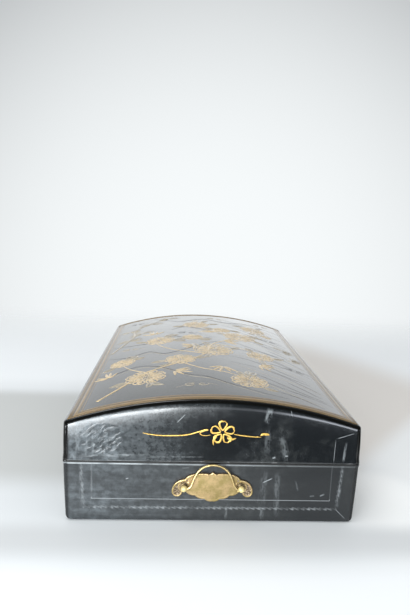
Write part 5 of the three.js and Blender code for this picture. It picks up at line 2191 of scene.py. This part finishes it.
def makeWorld():
    world = bpy.data.worlds.new("studio")
    bpy.context.scene.world = world
    world.use_nodes = True
    tree = world.node_tree
    background = tree.nodes["Background"]
    direction = Signal(tree.nodes.new("ShaderNodeTexCoord").outputs["Generated"])
    x, y, z = splitPlace(direction)

    look = worldLook
    low = fadeOut(z, *look["backdropTop"])
    behind = fade(y, *look["backdropNear"])
    backdrop = blendColour(fade(z, *look["backdropHigh"]), look["backdrop"], look["highBackdrop"])
    sideways = abs(x - look["backdropMiddle"])
    toSide = fade(sideways, *look["backdropSide"], 1.0, look["sideShare"])
    backdrop = blendColour(1.0, backdrop, toSide, "MULTIPLY")
    reflected = blendColour(low * behind, look["dim"], backdrop)
    level = fade(z, *look["windowFoot"]) * fadeOut(z, *look["windowTop"])
    front = fade(y, *look["windowFront"])
    windows = blendColour(fade(x, *look["windowRight"]), look["windows"], look["rightWindow"])
    reflected = blendColour(level * front, reflected, windows)

    # Painted shade: the backdrop as the camera sees it darkens away from the middle of the view
    aim = addNode("VectorMath", {0: direction, 1: look["middle"]}, operation="DOT_PRODUCT")
    away = (1.0 - Signal(aim.outputs["Value"])) / (1 - look["edgeAngle"])
    away = largest(away, 0.0) ** look["edgePower"]
    seen = blendColour(away, look["seen"], look["edge"])

    light = outputsOf(tree.nodes.new("ShaderNodeLightPath"))
    glossy = largest(light["Is Glossy Ray"], light["Is Transmission Ray"])
    even = tuple(c * look["strength"] for c in look["even"][:3]) + (1,)
    colour = blendColour(glossy, even, reflected)
    colour = blendColour(light["Is Camera Ray"], colour, seen)
    join(colour, background.inputs["Color"])
    background.inputs["Strength"].default_value = 1.0


# Area lights: where each stands and aims, its width and height in metres, its watts and its colour
lights = {
    "window": ((-0.53, -1.3, 0.165), (-0.05, -0.18, 0.07), (0.95, 0.44), 34, (0.93, 0.975, 1)),
    "top_softbox": ((-0.5, -0.25, 1.5), (0, 0, 0.05), (0.9, 0.9), 7, (1, 1, 1)),
}


def makeLight(name, place, target, size, power, colour):
    data = bpy.data.lights.new(name, "AREA")
    data.shape = "RECTANGLE"
    data.size, data.size_y = size
    data.energy = power
    data.color = colour
    light = bpy.data.objects.new(name, data)
    bpy.context.scene.collection.objects.link(light)
    light.location = place
    light.rotation_euler = (Vector(target) - Vector(place)).to_track_quat("-Z", "Y").to_euler()


# The camera, as fitted to the box's corners in the picture of 410 by 615 pixels
view = {
    "place": (-0.0322, -0.5622, 0.2457),
    "yaw": 3.049,
    "pitch": 9.988,
    "roll": -2.317,
    "focalPixels": 514.8,
    "pictureHeight": 615,
    "sensor": 36.0,
}


def makeCamera():
    data = bpy.data.cameras.new("camera")
    data.sensor_width = view["sensor"]
    data.lens = view["focalPixels"] / view["pictureHeight"] * view["sensor"]
    camera = bpy.data.objects.new("camera", data)
    bpy.context.scene.collection.objects.link(camera)
    yaw, pitch, roll = (radians(view[key]) for key in ("yaw", "pitch", "roll"))
    ahead = Vector((sin(yaw) * cos(pitch), cos(yaw) * cos(pitch), -sin(pitch)))
    right = Vector((cos(yaw), -sin(yaw), 0))
    down = ahead.cross(right)
    pictureRight = right * cos(roll) + down * sin(roll)
    pictureDown = down * cos(roll) - right * sin(roll)
    axes = Matrix((pictureRight, -pictureDown, -ahead)).transposed()
    camera.matrix_world = Matrix.Translation(view["place"]) @ axes.to_4x4()
    bpy.context.scene.camera = camera


makeFloor()
makeWorld()
for name, values in lights.items():
    makeLight(name, *values)
makeCamera()
bpy.context.scene.view_settings.view_transform = "Standard"
print("stage, lights and camera made")
